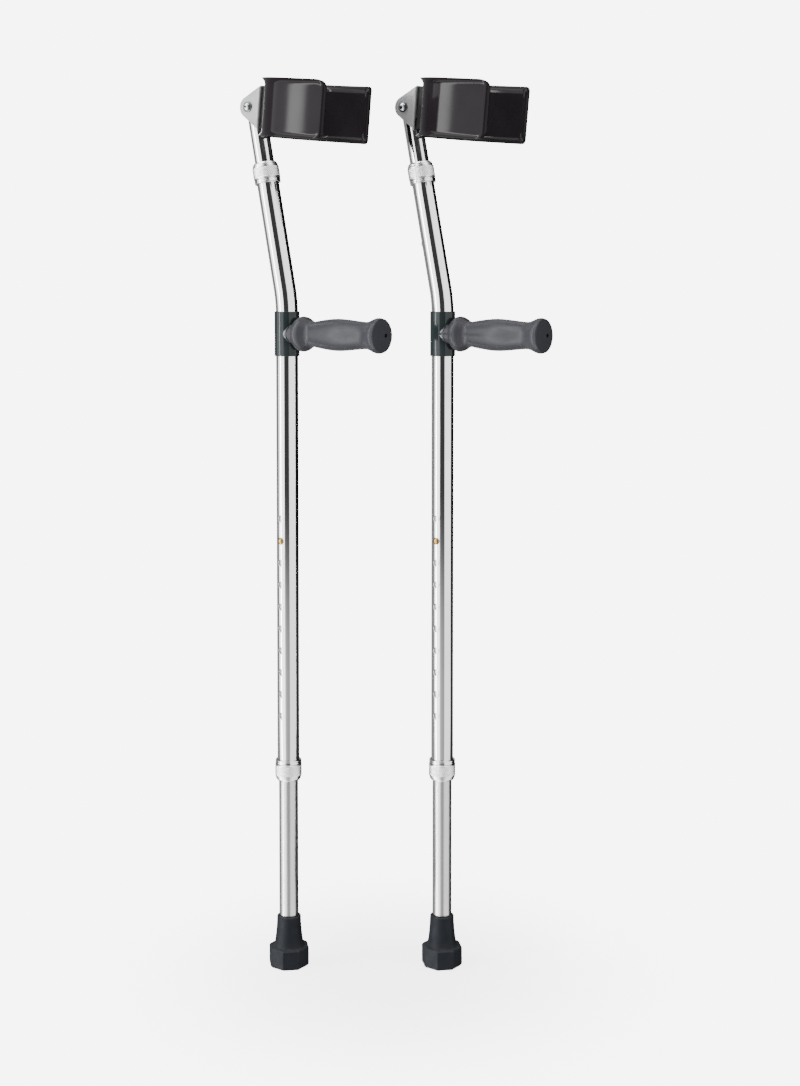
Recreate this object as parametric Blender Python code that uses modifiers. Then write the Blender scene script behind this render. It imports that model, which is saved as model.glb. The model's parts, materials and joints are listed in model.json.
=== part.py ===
# A pair of forearm crutches: bent outer tube, sliding forearm tube with a hinged arm cuff,
# sliding leg tube with a rubber tip, snap buttons, knurled lock nuts and a moulded handgrip.
# Metres, +Z up. Each handgrip points to -Y, the wearer's right is -X, the tips stand on z = 0.
# The two crutches are the same build, named right_... and left_....
import math

import bmesh
import bpy
from mathutils import Matrix, Vector

# Tubes
OUTER_R = 0.0127            # 1 inch outer tube
OUTER_BORE_R = 0.0115
INNER_R = 0.0111            # 7/8 inch leg and forearm tubes
INNER_BORE_R = 0.0099
GAP = 0.0003                # clearance between touching pieces
TUBE_SIDES = 24
SMALL_SIDES = 12

# Outer tube
TUBE_BOTTOM_Z = 0.2310
BEND_Z = 0.7725             # corner of the two straight runs
BEND_ANGLE = math.radians(11.5)
BEND_RADIUS = 0.160
HOLE_R = 0.0041
HOLE_PITCH = 0.0254
LEG_HOLE_TOP_Z = 0.5237
LEG_HOLES = 10
LEG_HOLE_IN_USE = 1         # counted from the top hole, 0

# Forearm run, measured up the tilted axis from BEND_Z
COLLAR_S = 0.1383
BUTTON_S = 0.0700
FOREARM_HOLES = 4
FOREARM_BOTTOM_S = 0.0425
PIVOT_S = 0.2276
PIVOT_END_R = 0.0117        # forearm tube rounded about the pivot

# Collar: ferrule on the outer tube, split bushing, knurled lock nut
COLLAR_LENGTH = 0.0240
TUBE_END_IN_COLLAR = 0.0120
NUT_R = 0.0154

# Leg and tip
LEG_TOP_Z = 0.5340
TIP_TOP_Z = 0.0590
TIP_FLOOR_Z = 0.0240
TIP_BASE_HEIGHT = 0.0235
TIP_ACROSS_FLATS = 0.0445
TIP_SOCKET_R = 0.01145

# Handgrip, measured forward from the outer tube's axis
GRIP_Z = 0.7360
GRIP_START = 0.0170
GRIP_END = 0.1358
SLEEVE_R = 0.0144
SLEEVE_BORE_R = 0.01305
SLEEVE_HALF_HEIGHT = 0.0255
ROD_R = 0.0063
ROD_END = 0.1120
SADDLE_R = 0.0138           # curved washer between sleeve and grip
SADDLE_THICKNESS = 0.0013
SADDLE_FACE_R = SLEEVE_R + GAP + SADDLE_THICKNESS
GRIP_NECK_R = 0.0130

# Cuff, measured from the pivot: forward, across and up
CUFF_TILT = math.radians(5.5)
CUFF_CENTRE = 0.0734
CUFF_R = 0.0463             # middle of the wall
CUFF_ARM_END = 0.1300
CUFF_BEAD_R = 0.0042        # thick rounded ends of the two arms
CUFF_BEAD_HALF_HEIGHT = 0.0270
CUFF_WALL = 0.0026
CUFF_HALF_HEIGHT = 0.0325
CUFF_LIP = 0.0038           # how far the upper and lower edges flare outwards
CUFF_LIP_BAND = 0.0062
EAR_R = 0.0120
EAR_INNER_X = 0.0125
EAR_OUTER_X = 0.0143
WEB_FRONT = 0.0170
WEB_BACK = 0.0152
WEB_HALF_HEIGHT = 0.0250
WEB_LOWER_EDGE = -0.0100    # the web is cut away below this, for the tube
RIVET_HEIGHTS = {"upper": 0.0190, "lower": 0.0085}
RIVET_HOLE_R = 0.0028
RIVET_HEAD_LIFT = 0.0010    # clears the curve of the cuff's inner wall
BOLT_R = 0.0030
BOLT_HOLE_R = 0.00335

# The pair, both alike: from the right crutch to the left one
PAIR_SPACING = Vector((0.105, -0.144, 0.0))

PIVOT_BACK = PIVOT_S * math.sin(BEND_ANGLE)
CENTRE_Y = (PIVOT_BACK + EAR_R - GRIP_END + PAIR_SPACING.y) / 2
RIGHT_AT = Vector((-PAIR_SPACING.x / 2, -CENTRE_Y, 0.0))

PALETTE = {
    "polished_tube": ((0.80, 0.80, 0.81), 0.12, 1.0),
    "satin_tube": ((0.70, 0.71, 0.72), 0.35, 1.0),
    "collar_metal": ((0.72, 0.72, 0.72), 0.35, 1.0),
    "bracket_steel": ((0.66, 0.66, 0.65), 0.25, 1.0),
    "fastener_steel": ((0.60, 0.61, 0.62), 0.25, 1.0),
    "brass": ((0.75, 0.55, 0.20), 0.25, 1.0),
    "spring_steel": ((0.35, 0.36, 0.38), 0.35, 1.0),
    "painted_sleeve": ((0.07, 0.09, 0.09), 0.35, 0.0),
    "grip_vinyl": ((0.13, 0.13, 0.15), 0.50, 0.0),
    "cuff_vinyl": ((0.030, 0.028, 0.032), 0.18, 0.0),
    "tip_rubber": ((0.030, 0.034, 0.042), 0.60, 0.0),
    "nylon": ((0.75, 0.74, 0.70), 0.45, 0.0),
    "black_nylon": ((0.02, 0.02, 0.02), 0.45, 0.0),
}


def clear_scene():
    for obj in list(bpy.data.objects):
        bpy.data.objects.remove(obj, do_unlink=True)


def new_collection(name):
    collection = bpy.data.collections.new(name)
    bpy.context.scene.collection.children.link(collection)
    return collection


def make_materials():
    for name, (colour, roughness, metallic) in PALETTE.items():
        material = bpy.data.materials.new(name)
        material.use_nodes = True
        shader = material.node_tree.nodes["Principled BSDF"]
        shader.inputs["Base Color"].default_value = (*colour, 1.0)
        shader.inputs["Roughness"].default_value = roughness
        shader.inputs["Metallic"].default_value = metallic


clear_scene()
PARTS = new_collection("forearm_crutches")
CUTTERS = new_collection("cutters")
make_materials()

UPRIGHT = Matrix.Identity(4)
FORWARD = Matrix.Rotation(math.radians(90), 4, "X")     # local +Z turned to -Y
BACKWARD = Matrix.Rotation(math.radians(-90), 4, "X")   # local +Z turned to +Y
OUTWARD = Matrix.Rotation(math.radians(-90), 4, "Y")    # local +Z turned to -X
INWARD = Matrix.Rotation(math.radians(90), 4, "Y")      # local +Z turned to +X
DOWN = Matrix.Rotation(math.radians(180), 4, "X")


def at(x, y, z):
    return Matrix.Translation((x, y, z))


def empty(name, parent, matrix):
    guide = bpy.data.objects.new(name, None)
    PARTS.objects.link(guide)
    guide.parent = parent
    guide.matrix_local = matrix
    return guide


def place(mesh, name, material, parent, matrix=UPRIGHT):
    obj = bpy.data.objects.new(name, mesh)
    PARTS.objects.link(obj)
    mesh.materials.append(bpy.data.materials[material])
    mesh.shade_smooth()
    mesh.set_sharp_from_angle(angle=math.radians(35))
    obj.parent = parent
    obj.matrix_local = matrix
    return obj


def place_cutter(mesh, name, parent, matrix=UPRIGHT):
    obj = bpy.data.objects.new("cut_" + name, mesh)
    CUTTERS.objects.link(obj)
    obj.hide_render = True
    obj.display_type = "WIRE"
    obj.parent = parent
    obj.matrix_local = matrix
    return obj


def boolean(obj, other, operation="DIFFERENCE"):
    modifier = obj.modifiers.new(operation.lower(), "BOOLEAN")
    modifier.operation = operation
    modifier.solver = "EXACT"
    modifier.object = other


def screw(obj, sides):
    modifier = obj.modifiers.new("turn", "SCREW")
    modifier.steps = sides
    modifier.render_steps = sides
    modifier.use_merge_vertices = True
    modifier.merge_threshold = 0.00001
    modifier.use_smooth_shade = True


def profile_mesh(name, points, closed):
    """Radius and height pairs, run down the outside and, where closed, back up the bore."""
    bm = bmesh.new()
    corners = [bm.verts.new((radius, 0.0, height)) for radius, height in points]
    for first, second in zip(corners, corners[1:]):
        bm.edges.new((first, second))
    if closed:
        bm.edges.new((corners[-1], corners[0]))
    mesh = bpy.data.meshes.new(name)
    bm.to_mesh(mesh)
    bm.free()
    return mesh


def turned(name, material, parent, points, matrix=UPRIGHT, sides=TUBE_SIDES):
    """A solid turned about local Z. It is hollow when no point lies on the axis."""
    closed = all(radius > 0 for radius, height in points)
    obj = place(profile_mesh(name, points, closed), name, material, parent, matrix)
    screw(obj, sides)
    return obj


def ring(name, material, parent, outer, bore, low, high, matrix=UPRIGHT, sides=TUBE_SIDES):
    points = [(outer, high), (outer, low), (bore, low), (bore, high)]
    return turned(name, material, parent, points, matrix, sides)


def rod_mesh(name, radius, low, high, sides=SMALL_SIDES):
    bm = bmesh.new()
    bmesh.ops.create_cone(
        bm, cap_ends=True, segments=sides, radius1=radius, radius2=radius, depth=high - low,
        matrix=at(0, 0, (low + high) / 2),
    )
    mesh = bpy.data.meshes.new(name)
    bm.to_mesh(mesh)
    bm.free()
    return mesh


def box_mesh(name, low, high):
    low, high = Vector(low), Vector(high)
    size = high - low
    bm = bmesh.new()
    bmesh.ops.create_cube(
        bm, size=1.0, matrix=Matrix.Translation((low + high) / 2) @ Matrix.Diagonal((*size, 1.0))
    )
    mesh = bpy.data.meshes.new(name)
    bm.to_mesh(mesh)
    bm.free()
    return mesh


def curve_mesh(curve, name):
    """The evaluated mesh of a curve, with its loose caps welded on."""
    obj = bpy.data.objects.new(name, curve)
    PARTS.objects.link(obj)
    mesh = bpy.data.meshes.new_from_object(obj.evaluated_get(bpy.context.evaluated_depsgraph_get()))
    bpy.data.objects.remove(obj, do_unlink=True)
    bm = bmesh.new()
    bm.from_mesh(mesh)
    bmesh.ops.remove_doubles(bm, verts=bm.verts, dist=0.00001)
    bmesh.ops.recalc_face_normals(bm, faces=bm.faces)
    bm.to_mesh(mesh)
    bm.free()
    mesh.materials.clear()
    return mesh


def poly_curve(name, points, dimensions="3D", cyclic=False):
    curve = bpy.data.curves.new(name, "CURVE")
    curve.dimensions = dimensions
    spline = curve.splines.new("POLY")
    spline.points.add(len(points) - 1)
    for point, place_at in zip(spline.points, points):
        point.co = (*place_at, 1.0)
    spline.use_cyclic_u = cyclic
    return curve


def pipe_mesh(name, points, radius):
    curve = poly_curve(name, points)
    curve.bevel_depth = radius
    curve.bevel_resolution = (TUBE_SIDES - 4) // 2
    curve.use_fill_caps = True
    return curve_mesh(curve, name)


def plate_mesh(name, outline, half_thickness):
    """A flat outline in XY, thick along Z."""
    curve = poly_curve(name, [(x, y, 0.0) for x, y in outline], "2D", cyclic=True)
    curve.fill_mode = "BOTH"
    curve.extrude = half_thickness
    return curve_mesh(curve, name)


def arc(radius, start, end, steps):
    """Points of an arc about the origin, angles in degrees."""
    angles = [math.radians(start + (end - start) * i / steps) for i in range(steps + 1)]
    return [(radius * math.cos(angle), radius * math.sin(angle)) for angle in angles]


# Outer tube ---------------------------------------------------------------------------------

def outer_tube_path(bottom, top):
    """Straight up, round the bend and up the forearm run. The ends are heights and lengths."""
    reach = BEND_RADIUS * math.tan(BEND_ANGLE / 2)
    points = [(0.0, 0.0, bottom)]
    for step in range(7):
        angle = BEND_ANGLE * step / 6
        points.append((
            0.0,
            BEND_RADIUS * (1 - math.cos(angle)),
            BEND_Z - reach + BEND_RADIUS * math.sin(angle),
        ))
    points.append((0.0, top * math.sin(BEND_ANGLE), BEND_Z + top * math.cos(BEND_ANGLE)))
    return points


def main_tube(side, base, forearm_run):
    top = COLLAR_S + TUBE_END_IN_COLLAR
    outside = pipe_mesh("main_tube", outer_tube_path(TUBE_BOTTOM_Z, top), OUTER_R)
    past = 0.004
    bore = pipe_mesh("bore", outer_tube_path(TUBE_BOTTOM_Z - past, top + past), OUTER_BORE_R)
    tube = place(outside, side + "main_tube", "polished_tube", base)
    boolean(tube, place_cutter(bore, side + "bore", base))
    for hole in range(LEG_HOLES):
        drill = place_cutter(
            rod_mesh("drill", HOLE_R, 0.0060, 0.0160), f"{side}leg_hole_{hole}", base,
            at(0, 0, LEG_HOLE_TOP_Z - hole * HOLE_PITCH) @ OUTWARD,
        )
        boolean(tube, drill)
    for hole in range(FOREARM_HOLES):
        drill = place_cutter(
            rod_mesh("drill", HOLE_R, 0.0060, 0.0160), f"{side}forearm_hole_{hole}", forearm_run,
            at(0, 0, BUTTON_S + (hole - 1) * HOLE_PITCH) @ BACKWARD,
        )
        boolean(tube, drill)


# Collars ------------------------------------------------------------------------------------

def collar(side, which, parent, matrix):
    """Local Z runs from the ferrule towards the open end of the outer tube."""
    neck_r = 0.0140
    lip_r = INNER_R + 0.0004
    ferrule_end = 0.0045
    points = [
        (neck_r, TUBE_END_IN_COLLAR), (neck_r, ferrule_end), (0.0150, ferrule_end),
        (0.0150, 0.0), (SLEEVE_BORE_R, 0.0), (SLEEVE_BORE_R, TUBE_END_IN_COLLAR),
    ]
    turned(f"{side}{which}_ferrule", "collar_metal", parent, points, matrix)
    ring(
        f"{side}{which}_bushing", "black_nylon", parent, neck_r, lip_r,
        TUBE_END_IN_COLLAR + GAP, 0.0215, matrix,
    )
    inside_r = neck_r + 0.0004
    points = [
        (0.0136, COLLAR_LENGTH), (NUT_R - 0.0006, 0.0205), (NUT_R, 0.0190), (NUT_R, 0.0056),
        (NUT_R - 0.0005, 0.0050), (inside_r, 0.0050), (inside_r, 0.0218), (lip_r, 0.0218),
        (lip_r, COLLAR_LENGTH),
    ]
    turned(f"{side}{which}_lock_nut", "collar_metal", parent, points, matrix)


# Snap buttons -------------------------------------------------------------------------------

def snap_button(side, which, parent, matrix, spring_turn):
    """Local Z points out through the tube wall. The spring lies along local X."""
    flange_r, stem_r = 0.0048, 0.0037
    flange_low, flange_high = 0.0074, 0.0082
    stem_end, dome_top = 0.0134, 0.0150
    dome = [
        (stem_r * math.cos(math.radians(a)), stem_end + (dome_top - stem_end) * math.sin(math.radians(a)))
        for a in (90, 60, 30)
    ]
    dome[0] = (0.0, dome_top)
    points = dome + [
        (stem_r, stem_end), (stem_r, flange_high), (flange_r, flange_high),
        (flange_r, flange_low), (0.0, flange_low),
    ]
    turned(f"{side}{which}_button", "brass", parent, points, matrix, sides=SMALL_SIDES)

    leaf = 0.0006
    outer_leaf, far_leaf = flange_low - GAP - leaf / 2, -0.0088
    route = [
        (-0.0050, outer_leaf), (0.0050, outer_leaf), (0.0400, 0.0012), (0.0415, 0.0),
        (0.0400, -0.0012), (0.0040, far_leaf), (-0.0050, far_leaf),
    ]
    curve = poly_curve("spring", [(x, z, 0.0) for x, z in route])
    curve.extrude = 0.0028
    ribbon = curve_mesh(curve, "spring")
    stand = Matrix.Rotation(math.radians(90), 4, "X")
    spring = place(
        ribbon, f"{side}{which}_spring", "spring_steel", parent, matrix @ spring_turn @ stand
    )
    thick = spring.modifiers.new("leaf", "SOLIDIFY")
    thick.thickness = leaf
    thick.offset = 0.0


# Leg ----------------------------------------------------------------------------------------

def leg(side, base):
    button_z = LEG_HOLE_TOP_Z - LEG_HOLE_IN_USE * HOLE_PITCH
    moving = empty(side + "leg", base, at(0, 0, button_z))
    low = TIP_FLOOR_Z + 0.0021
    tube = ring(
        side + "leg_tube", "satin_tube", moving, INNER_R, INNER_BORE_R,
        low - button_z, LEG_TOP_Z - button_z,
    )
    drill = place_cutter(rod_mesh("drill", HOLE_R, 0.0060, 0.0140), side + "leg_drill", moving, OUTWARD)
    boolean(tube, drill)
    snap_button(side, "leg", moving, OUTWARD, UPRIGHT @ Matrix.Rotation(math.radians(180), 4, "Z"))
    ring(
        side + "tip_washer", "fastener_steel", moving, 0.0109, 0.0030,
        TIP_FLOOR_Z + GAP - button_z, TIP_FLOOR_Z + 0.0018 - button_z,
    )
    tip(side, moving, -button_z)


def tip(side, parent, floor):
    """Rubber ferrule: a turned neck on an eight-sided foot, with a blind socket."""
    neck = [
        (0.0, TIP_TOP_Z), (0.0132, TIP_TOP_Z), (0.0138, TIP_TOP_Z - 0.0008), (0.0142, 0.0500),
        (0.0152, 0.0380), (0.0166, 0.0280), (0.0176, TIP_BASE_HEIGHT - 0.0030),
        (0.0, TIP_BASE_HEIGHT - 0.0030),
    ]
    body = turned(side + "tip", "tip_rubber", parent, neck, at(0, 0, floor), sides=TUBE_SIDES)
    bm = bmesh.new()
    corner_r = TIP_ACROSS_FLATS / 2 / math.cos(math.pi / 8)
    bmesh.ops.create_cone(
        bm, cap_ends=True, segments=8, radius1=corner_r, radius2=corner_r, depth=TIP_BASE_HEIGHT,
        matrix=at(0, 0, TIP_BASE_HEIGHT / 2) @ Matrix.Rotation(math.radians(22.5), 4, "Z"),
    )
    for level, chamfer in ((0.0, 0.0022), (TIP_BASE_HEIGHT, 0.0016)):
        edges = [e for e in bm.edges if all(abs(v.co.z - level) < 1e-6 for v in e.verts)]
        bmesh.ops.bevel(
            bm, geom=edges, offset=chamfer, affect="EDGES", segments=1, profile=0.5, material=-1
        )
    foot = bpy.data.meshes.new("foot")
    bm.to_mesh(foot)
    bm.free()
    foot_at = at(0, 0, floor)
    boolean(body, place_cutter(foot, side + "tip_foot", parent, foot_at), "UNION")
    socket = rod_mesh("socket", TIP_SOCKET_R, TIP_FLOOR_Z, TIP_TOP_Z + 0.002, TUBE_SIDES)
    boolean(body, place_cutter(socket, side + "tip_socket", parent, foot_at))


# Handgrip -----------------------------------------------------------------------------------

def handgrip(side, base):
    """Local Z runs forward from the outer tube's axis."""
    grip = empty(side + "grip", base, at(0, 0, GRIP_Z) @ FORWARD)
    sleeve_turn = BACKWARD
    sleeve = place(
        rod_mesh("sleeve", SLEEVE_R, -SLEEVE_HALF_HEIGHT, SLEEVE_HALF_HEIGHT, TUBE_SIDES),
        side + "handgrip_bracket", "painted_sleeve", grip, sleeve_turn,
    )
    boolean(sleeve, place_cutter(rod_mesh("rod", ROD_R, 0.0, ROD_END), side + "rod", grip), "UNION")
    long = SLEEVE_HALF_HEIGHT + 0.004
    boolean(sleeve, place_cutter(
        rod_mesh("sleeve_bore", SLEEVE_BORE_R, -long, long, TUBE_SIDES),
        side + "sleeve_bore", grip, sleeve_turn,
    ))

    saddle = ring(
        side + "grip_washer", "fastener_steel", grip, SADDLE_R, ROD_R + 0.0004,
        0.0020, GRIP_START, sides=16,
    )
    for name, radius, operation in (
        ("saddle_back", SADDLE_FACE_R - SADDLE_THICKNESS, "DIFFERENCE"),
        ("saddle_front", SADDLE_FACE_R, "INTERSECT"),
    ):
        around = rod_mesh(name, radius, -long, long, TUBE_SIDES)
        boolean(saddle, place_cutter(around, side + name, grip, sleeve_turn), operation)

    bore_r, bore_end = ROD_R + 0.0004, ROD_END + 0.0010
    outline = [
        (0.0, GRIP_END), (0.0188, GRIP_END), (0.0198, GRIP_END - 0.0020), (0.0194, 0.1285),
        (0.0160, 0.1190), (0.0151, 0.1130), (0.0172, 0.0900), (0.0181, 0.0770), (0.0175, 0.0640),
        (0.0150, 0.0450), (0.0144, 0.0395), (0.0155, 0.0345), (0.0192, 0.0285), (0.0201, 0.0245),
        (0.0188, 0.0200), (GRIP_NECK_R + 0.0008, GRIP_START), (GRIP_NECK_R, 0.0020),
        (bore_r, 0.0020), (bore_r, bore_end), (0.0, bore_end),
    ]
    body = turned(side + "handgrip", "grip_vinyl", grip, outline, sides=20)
    vent = rod_mesh("vent", 0.0023, GRIP_END - 0.0060, GRIP_END + 0.0020, 12)
    boolean(body, place_cutter(vent, side + "vent", grip, at(0.0068, 0, 0)))
    around = rod_mesh("grip_back", SADDLE_FACE_R + GAP, -long, long, TUBE_SIDES)
    boolean(body, place_cutter(around, side + "grip_back", grip, sleeve_turn))


# Forearm tube -------------------------------------------------------------------------------

def round_end_cutter(name, parent, radius):
    """What lies above the pivot and outside a cylinder about it, seen along X."""
    far = 0.0200
    outline = arc(radius, 0, 180, 8) + [(-far, 0.0), (-far, far), (far, far), (far, 0.0)]
    turn = Matrix.Rotation(math.radians(90), 4, "Y") @ Matrix.Rotation(math.radians(90), 4, "Z")
    return place_cutter(plate_mesh("round_end", outline, far), name, parent, turn)


def forearm_tube(side, run):
    moving = empty(side + "forearm", run, at(0, 0, PIVOT_S))
    tube = ring(
        side + "forearm_tube", "polished_tube", moving, INNER_R, INNER_BORE_R,
        FOREARM_BOTTOM_S - PIVOT_S, PIVOT_END_R,
    )
    drill = rod_mesh("drill", HOLE_R, 0.0060, 0.0140)
    button_at = at(0, 0, BUTTON_S - PIVOT_S) @ BACKWARD
    boolean(tube, place_cutter(drill, side + "forearm_drill", moving, button_at))
    boolean(tube, round_end_cutter(side + "tube_end", moving, PIVOT_END_R))
    cross = place_cutter(
        rod_mesh("cross", BOLT_HOLE_R, -0.0200, 0.0200), side + "tube_cross", moving, OUTWARD
    )
    boolean(tube, cross)
    snap_button(side, "forearm", moving, button_at, Matrix.Rotation(math.radians(90), 4, "Z"))

    plug_r = INNER_BORE_R - 0.0004
    plug = place(
        rod_mesh("plug", plug_r, -0.0110, PIVOT_END_R, TUBE_SIDES),
        side + "forearm_plug", "black_nylon", moving,
    )
    boolean(plug, round_end_cutter(side + "plug_end", moving, PIVOT_END_R - GAP))
    boolean(plug, cross)
    for name, turn in (("outer", OUTWARD), ("inner", INWARD)):
        ring(
            f"{side}pivot_spacer_{name}", "nylon", moving, 0.0062, BOLT_HOLE_R,
            INNER_R + GAP, EAR_INNER_X - GAP, turn, sides=SMALL_SIDES,
        )


# Cuff ---------------------------------------------------------------------------------------

def cuff_path(distance):
    """Point and outward normal, forward and across, at a distance from the back's middle."""
    quarter = CUFF_R * math.pi / 2
    side = 1 if distance >= 0 else -1
    along = abs(distance)
    if along <= quarter:
        angle = along / CUFF_R
        normal = (-math.cos(angle), side * math.sin(angle))
        return (CUFF_CENTRE + CUFF_R * normal[0], CUFF_R * normal[1]), normal
    return (CUFF_CENTRE + along - quarter, side * CUFF_R), (0.0, side * 1.0)


def cuff_mesh():
    """A flat sheet with rounded corners, flared at top and bottom and wrapped into a C."""
    half_length = CUFF_R * math.pi / 2 + CUFF_ARM_END - CUFF_CENTRE
    columns, rows = 18, 3
    bm = bmesh.new()
    bmesh.ops.create_grid(bm, x_segments=columns, y_segments=rows, size=1.0)
    heights = (-CUFF_HALF_HEIGHT, CUFF_LIP_BAND - CUFF_HALF_HEIGHT,
               CUFF_HALF_HEIGHT - CUFF_LIP_BAND, CUFF_HALF_HEIGHT)
    for vert in bm.verts:
        vert.co.x *= half_length
        vert.co.y = heights[round((vert.co.y + 1) / 2 * rows)]
    corners = [v for v in bm.verts if len(v.link_faces) == 1]
    bmesh.ops.bevel(
        bm, geom=corners, offset=CUFF_LIP_BAND * 0.9, affect="VERTICES", segments=2, profile=0.5,
        material=-1,
    )
    for vert in bm.verts:
        distance, height = vert.co.x, vert.co.y
        flare = CUFF_LIP * max(0.0, 1 - (CUFF_HALF_HEIGHT - abs(height)) / CUFF_LIP_BAND)
        (forward, across), normal = cuff_path(distance)
        vert.co = (across + flare * normal[1], -(forward + flare * normal[0]), height)
    bmesh.ops.recalc_face_normals(bm, faces=bm.faces)
    mesh = bpy.data.meshes.new("cuff")
    bm.to_mesh(mesh)
    bm.free()
    return mesh


def ear_outline():
    """Round about the pivot, with straight sides to the web's corners."""
    corner = Vector((WEB_FRONT, WEB_HALF_HEIGHT))
    touch = math.degrees(math.atan2(corner.y, corner.x) + math.acos(EAR_R / corner.length))
    return [tuple(corner)] + arc(EAR_R, touch, 360 - touch, 10) + [(corner.x, -corner.y)]


def cuff_group(side, forearm_run):
    """Local axes: -Y forward, Z up the cuff, origin on the pivot."""
    level = Matrix.Rotation(BEND_ANGLE + CUFF_TILT, 4, "X")
    hinge = empty(side + "cuff_hinge", forearm_run, at(0, 0, PIVOT_S) @ level)

    turn = Matrix.Rotation(math.radians(-90), 4, "Y") @ Matrix.Rotation(math.radians(-90), 4, "Z")
    bracket = place(
        plate_mesh("bracket", ear_outline(), EAR_OUTER_X),
        side + "cuff_bracket", "bracket_steel", hinge, turn,
    )
    inside = box_mesh("inside", (-EAR_INNER_X, -WEB_BACK, -0.040), (EAR_INNER_X, 0.030, 0.040))
    boolean(bracket, place_cutter(inside, side + "bracket_inside", hinge))
    notch = box_mesh("notch", (-EAR_INNER_X, -0.030, -0.040), (EAR_INNER_X, 0.030, WEB_LOWER_EDGE))
    boolean(bracket, place_cutter(notch, side + "bracket_notch", hinge))
    cross = place_cutter(
        rod_mesh("cross", BOLT_HOLE_R, -0.0300, 0.0300), side + "ear_cross", hinge, OUTWARD
    )
    boolean(bracket, cross)

    cuff = place(cuff_mesh(), side + "cuff", "cuff_vinyl", hinge)
    wall = cuff.modifiers.new("wall", "SOLIDIFY")
    wall.thickness = CUFF_WALL
    wall.offset = 0.0
    wall.use_even_offset = True
    for which, across in (("outer", -CUFF_R), ("inner", CUFF_R)):
        sunk = across - math.copysign(CUFF_BEAD_R - CUFF_WALL / 2 + 0.0002, across)
        bead = place_cutter(
            rod_mesh("bead", CUFF_BEAD_R, -CUFF_BEAD_HALF_HEIGHT, CUFF_BEAD_HALF_HEIGHT),
            f"{side}bead_{which}", hinge, at(sunk, -CUFF_ARM_END, 0),
        )
        boolean(cuff, bead, "UNION")

    cuff_back = CUFF_CENTRE - CUFF_R - CUFF_WALL / 2
    pad = place(
        box_mesh("pad", (-0.0110, -(cuff_back - GAP), -0.0235), (0.0110, -(WEB_FRONT + GAP), 0.0235)),
        side + "cuff_spacer", "black_nylon", hinge,
    )
    clearance = rod_mesh("clearance", INNER_R + 0.0005, PIVOT_S - 0.0600, PIVOT_S, TUBE_SIDES)
    boolean(pad, place_cutter(clearance, side + "pad_clearance", forearm_run))
    for where, height in RIVET_HEIGHTS.items():
        hole = place_cutter(
            rod_mesh("rivet_hole", RIVET_HOLE_R, 0.0050, 0.0400), f"{side}rivet_hole_{where}",
            hinge, at(0, 0, height) @ FORWARD,
        )
        for drilled in (bracket, cuff, pad):
            boolean(drilled, hole)
        cuff_inside = cuff_back + CUFF_WALL + RIVET_HEAD_LIFT
        tail = WEB_BACK - GAP
        points = [
            (0.0, cuff_inside + 0.0018), (0.0026, cuff_inside + 0.0014), (0.0045, cuff_inside),
            (0.0024, cuff_inside), (0.0024, tail), (0.0038, tail), (0.0036, tail - 0.0008),
            (0.0, tail - 0.0008),
        ]
        turned(
            f"{side}cuff_rivet_{where}", "fastener_steel", hinge, points,
            at(0, 0, height) @ FORWARD, sides=SMALL_SIDES,
        )
    pivot_fasteners(side, hinge)


def pivot_fasteners(side, hinge):
    washer_low, washer_high = EAR_OUTER_X + GAP, EAR_OUTER_X + 0.0013
    for name, turn in (("outer", OUTWARD), ("inner", INWARD)):
        ring(
            f"{side}pivot_washer_{name}", "fastener_steel", hinge, 0.0060, BOLT_HOLE_R,
            washer_low, washer_high, turn, sides=16,
        )
    head = washer_high + GAP
    tail = -(washer_high + 0.0062)
    points = [
        (0.0, head + 0.0030), (0.0022, head + 0.0028), (0.0038, head + 0.0019), (0.0047, head),
        (BOLT_R, head), (BOLT_R, tail), (0.0, tail),
    ]
    turned(side + "pivot_bolt", "fastener_steel", hinge, points, OUTWARD, sides=SMALL_SIDES)
    nut = place(
        rod_mesh("nut", 0.0058, head, head + 0.0050, 6), side + "pivot_nut", "fastener_steel",
        hinge, INWARD,
    )
    thread = rod_mesh("thread", BOLT_HOLE_R, head - 0.002, head + 0.007)
    boolean(nut, place_cutter(thread, side + "nut_thread", hinge, INWARD))


# The pair -----------------------------------------------------------------------------------

def crutch(side, location):
    base = empty(side + "crutch", None, Matrix.Translation(location))
    run = empty(
        side + "forearm_run", base, at(0, 0, BEND_Z) @ Matrix.Rotation(-BEND_ANGLE, 4, "X")
    )
    main_tube(side, base, run)
    collar(side, "lower", base, at(0, 0, TUBE_BOTTOM_Z + TUBE_END_IN_COLLAR) @ DOWN)
    collar(side, "upper", run, at(0, 0, COLLAR_S))
    leg(side, base)
    handgrip(side, base)
    forearm_tube(side, run)
    cuff_group(side, run)


crutch("right_", RIGHT_AT)
crutch("left_", RIGHT_AT + PAIR_SPACING)
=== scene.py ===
import json
import math

import bmesh
import bpy
from mathutils import Matrix, Vector


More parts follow.
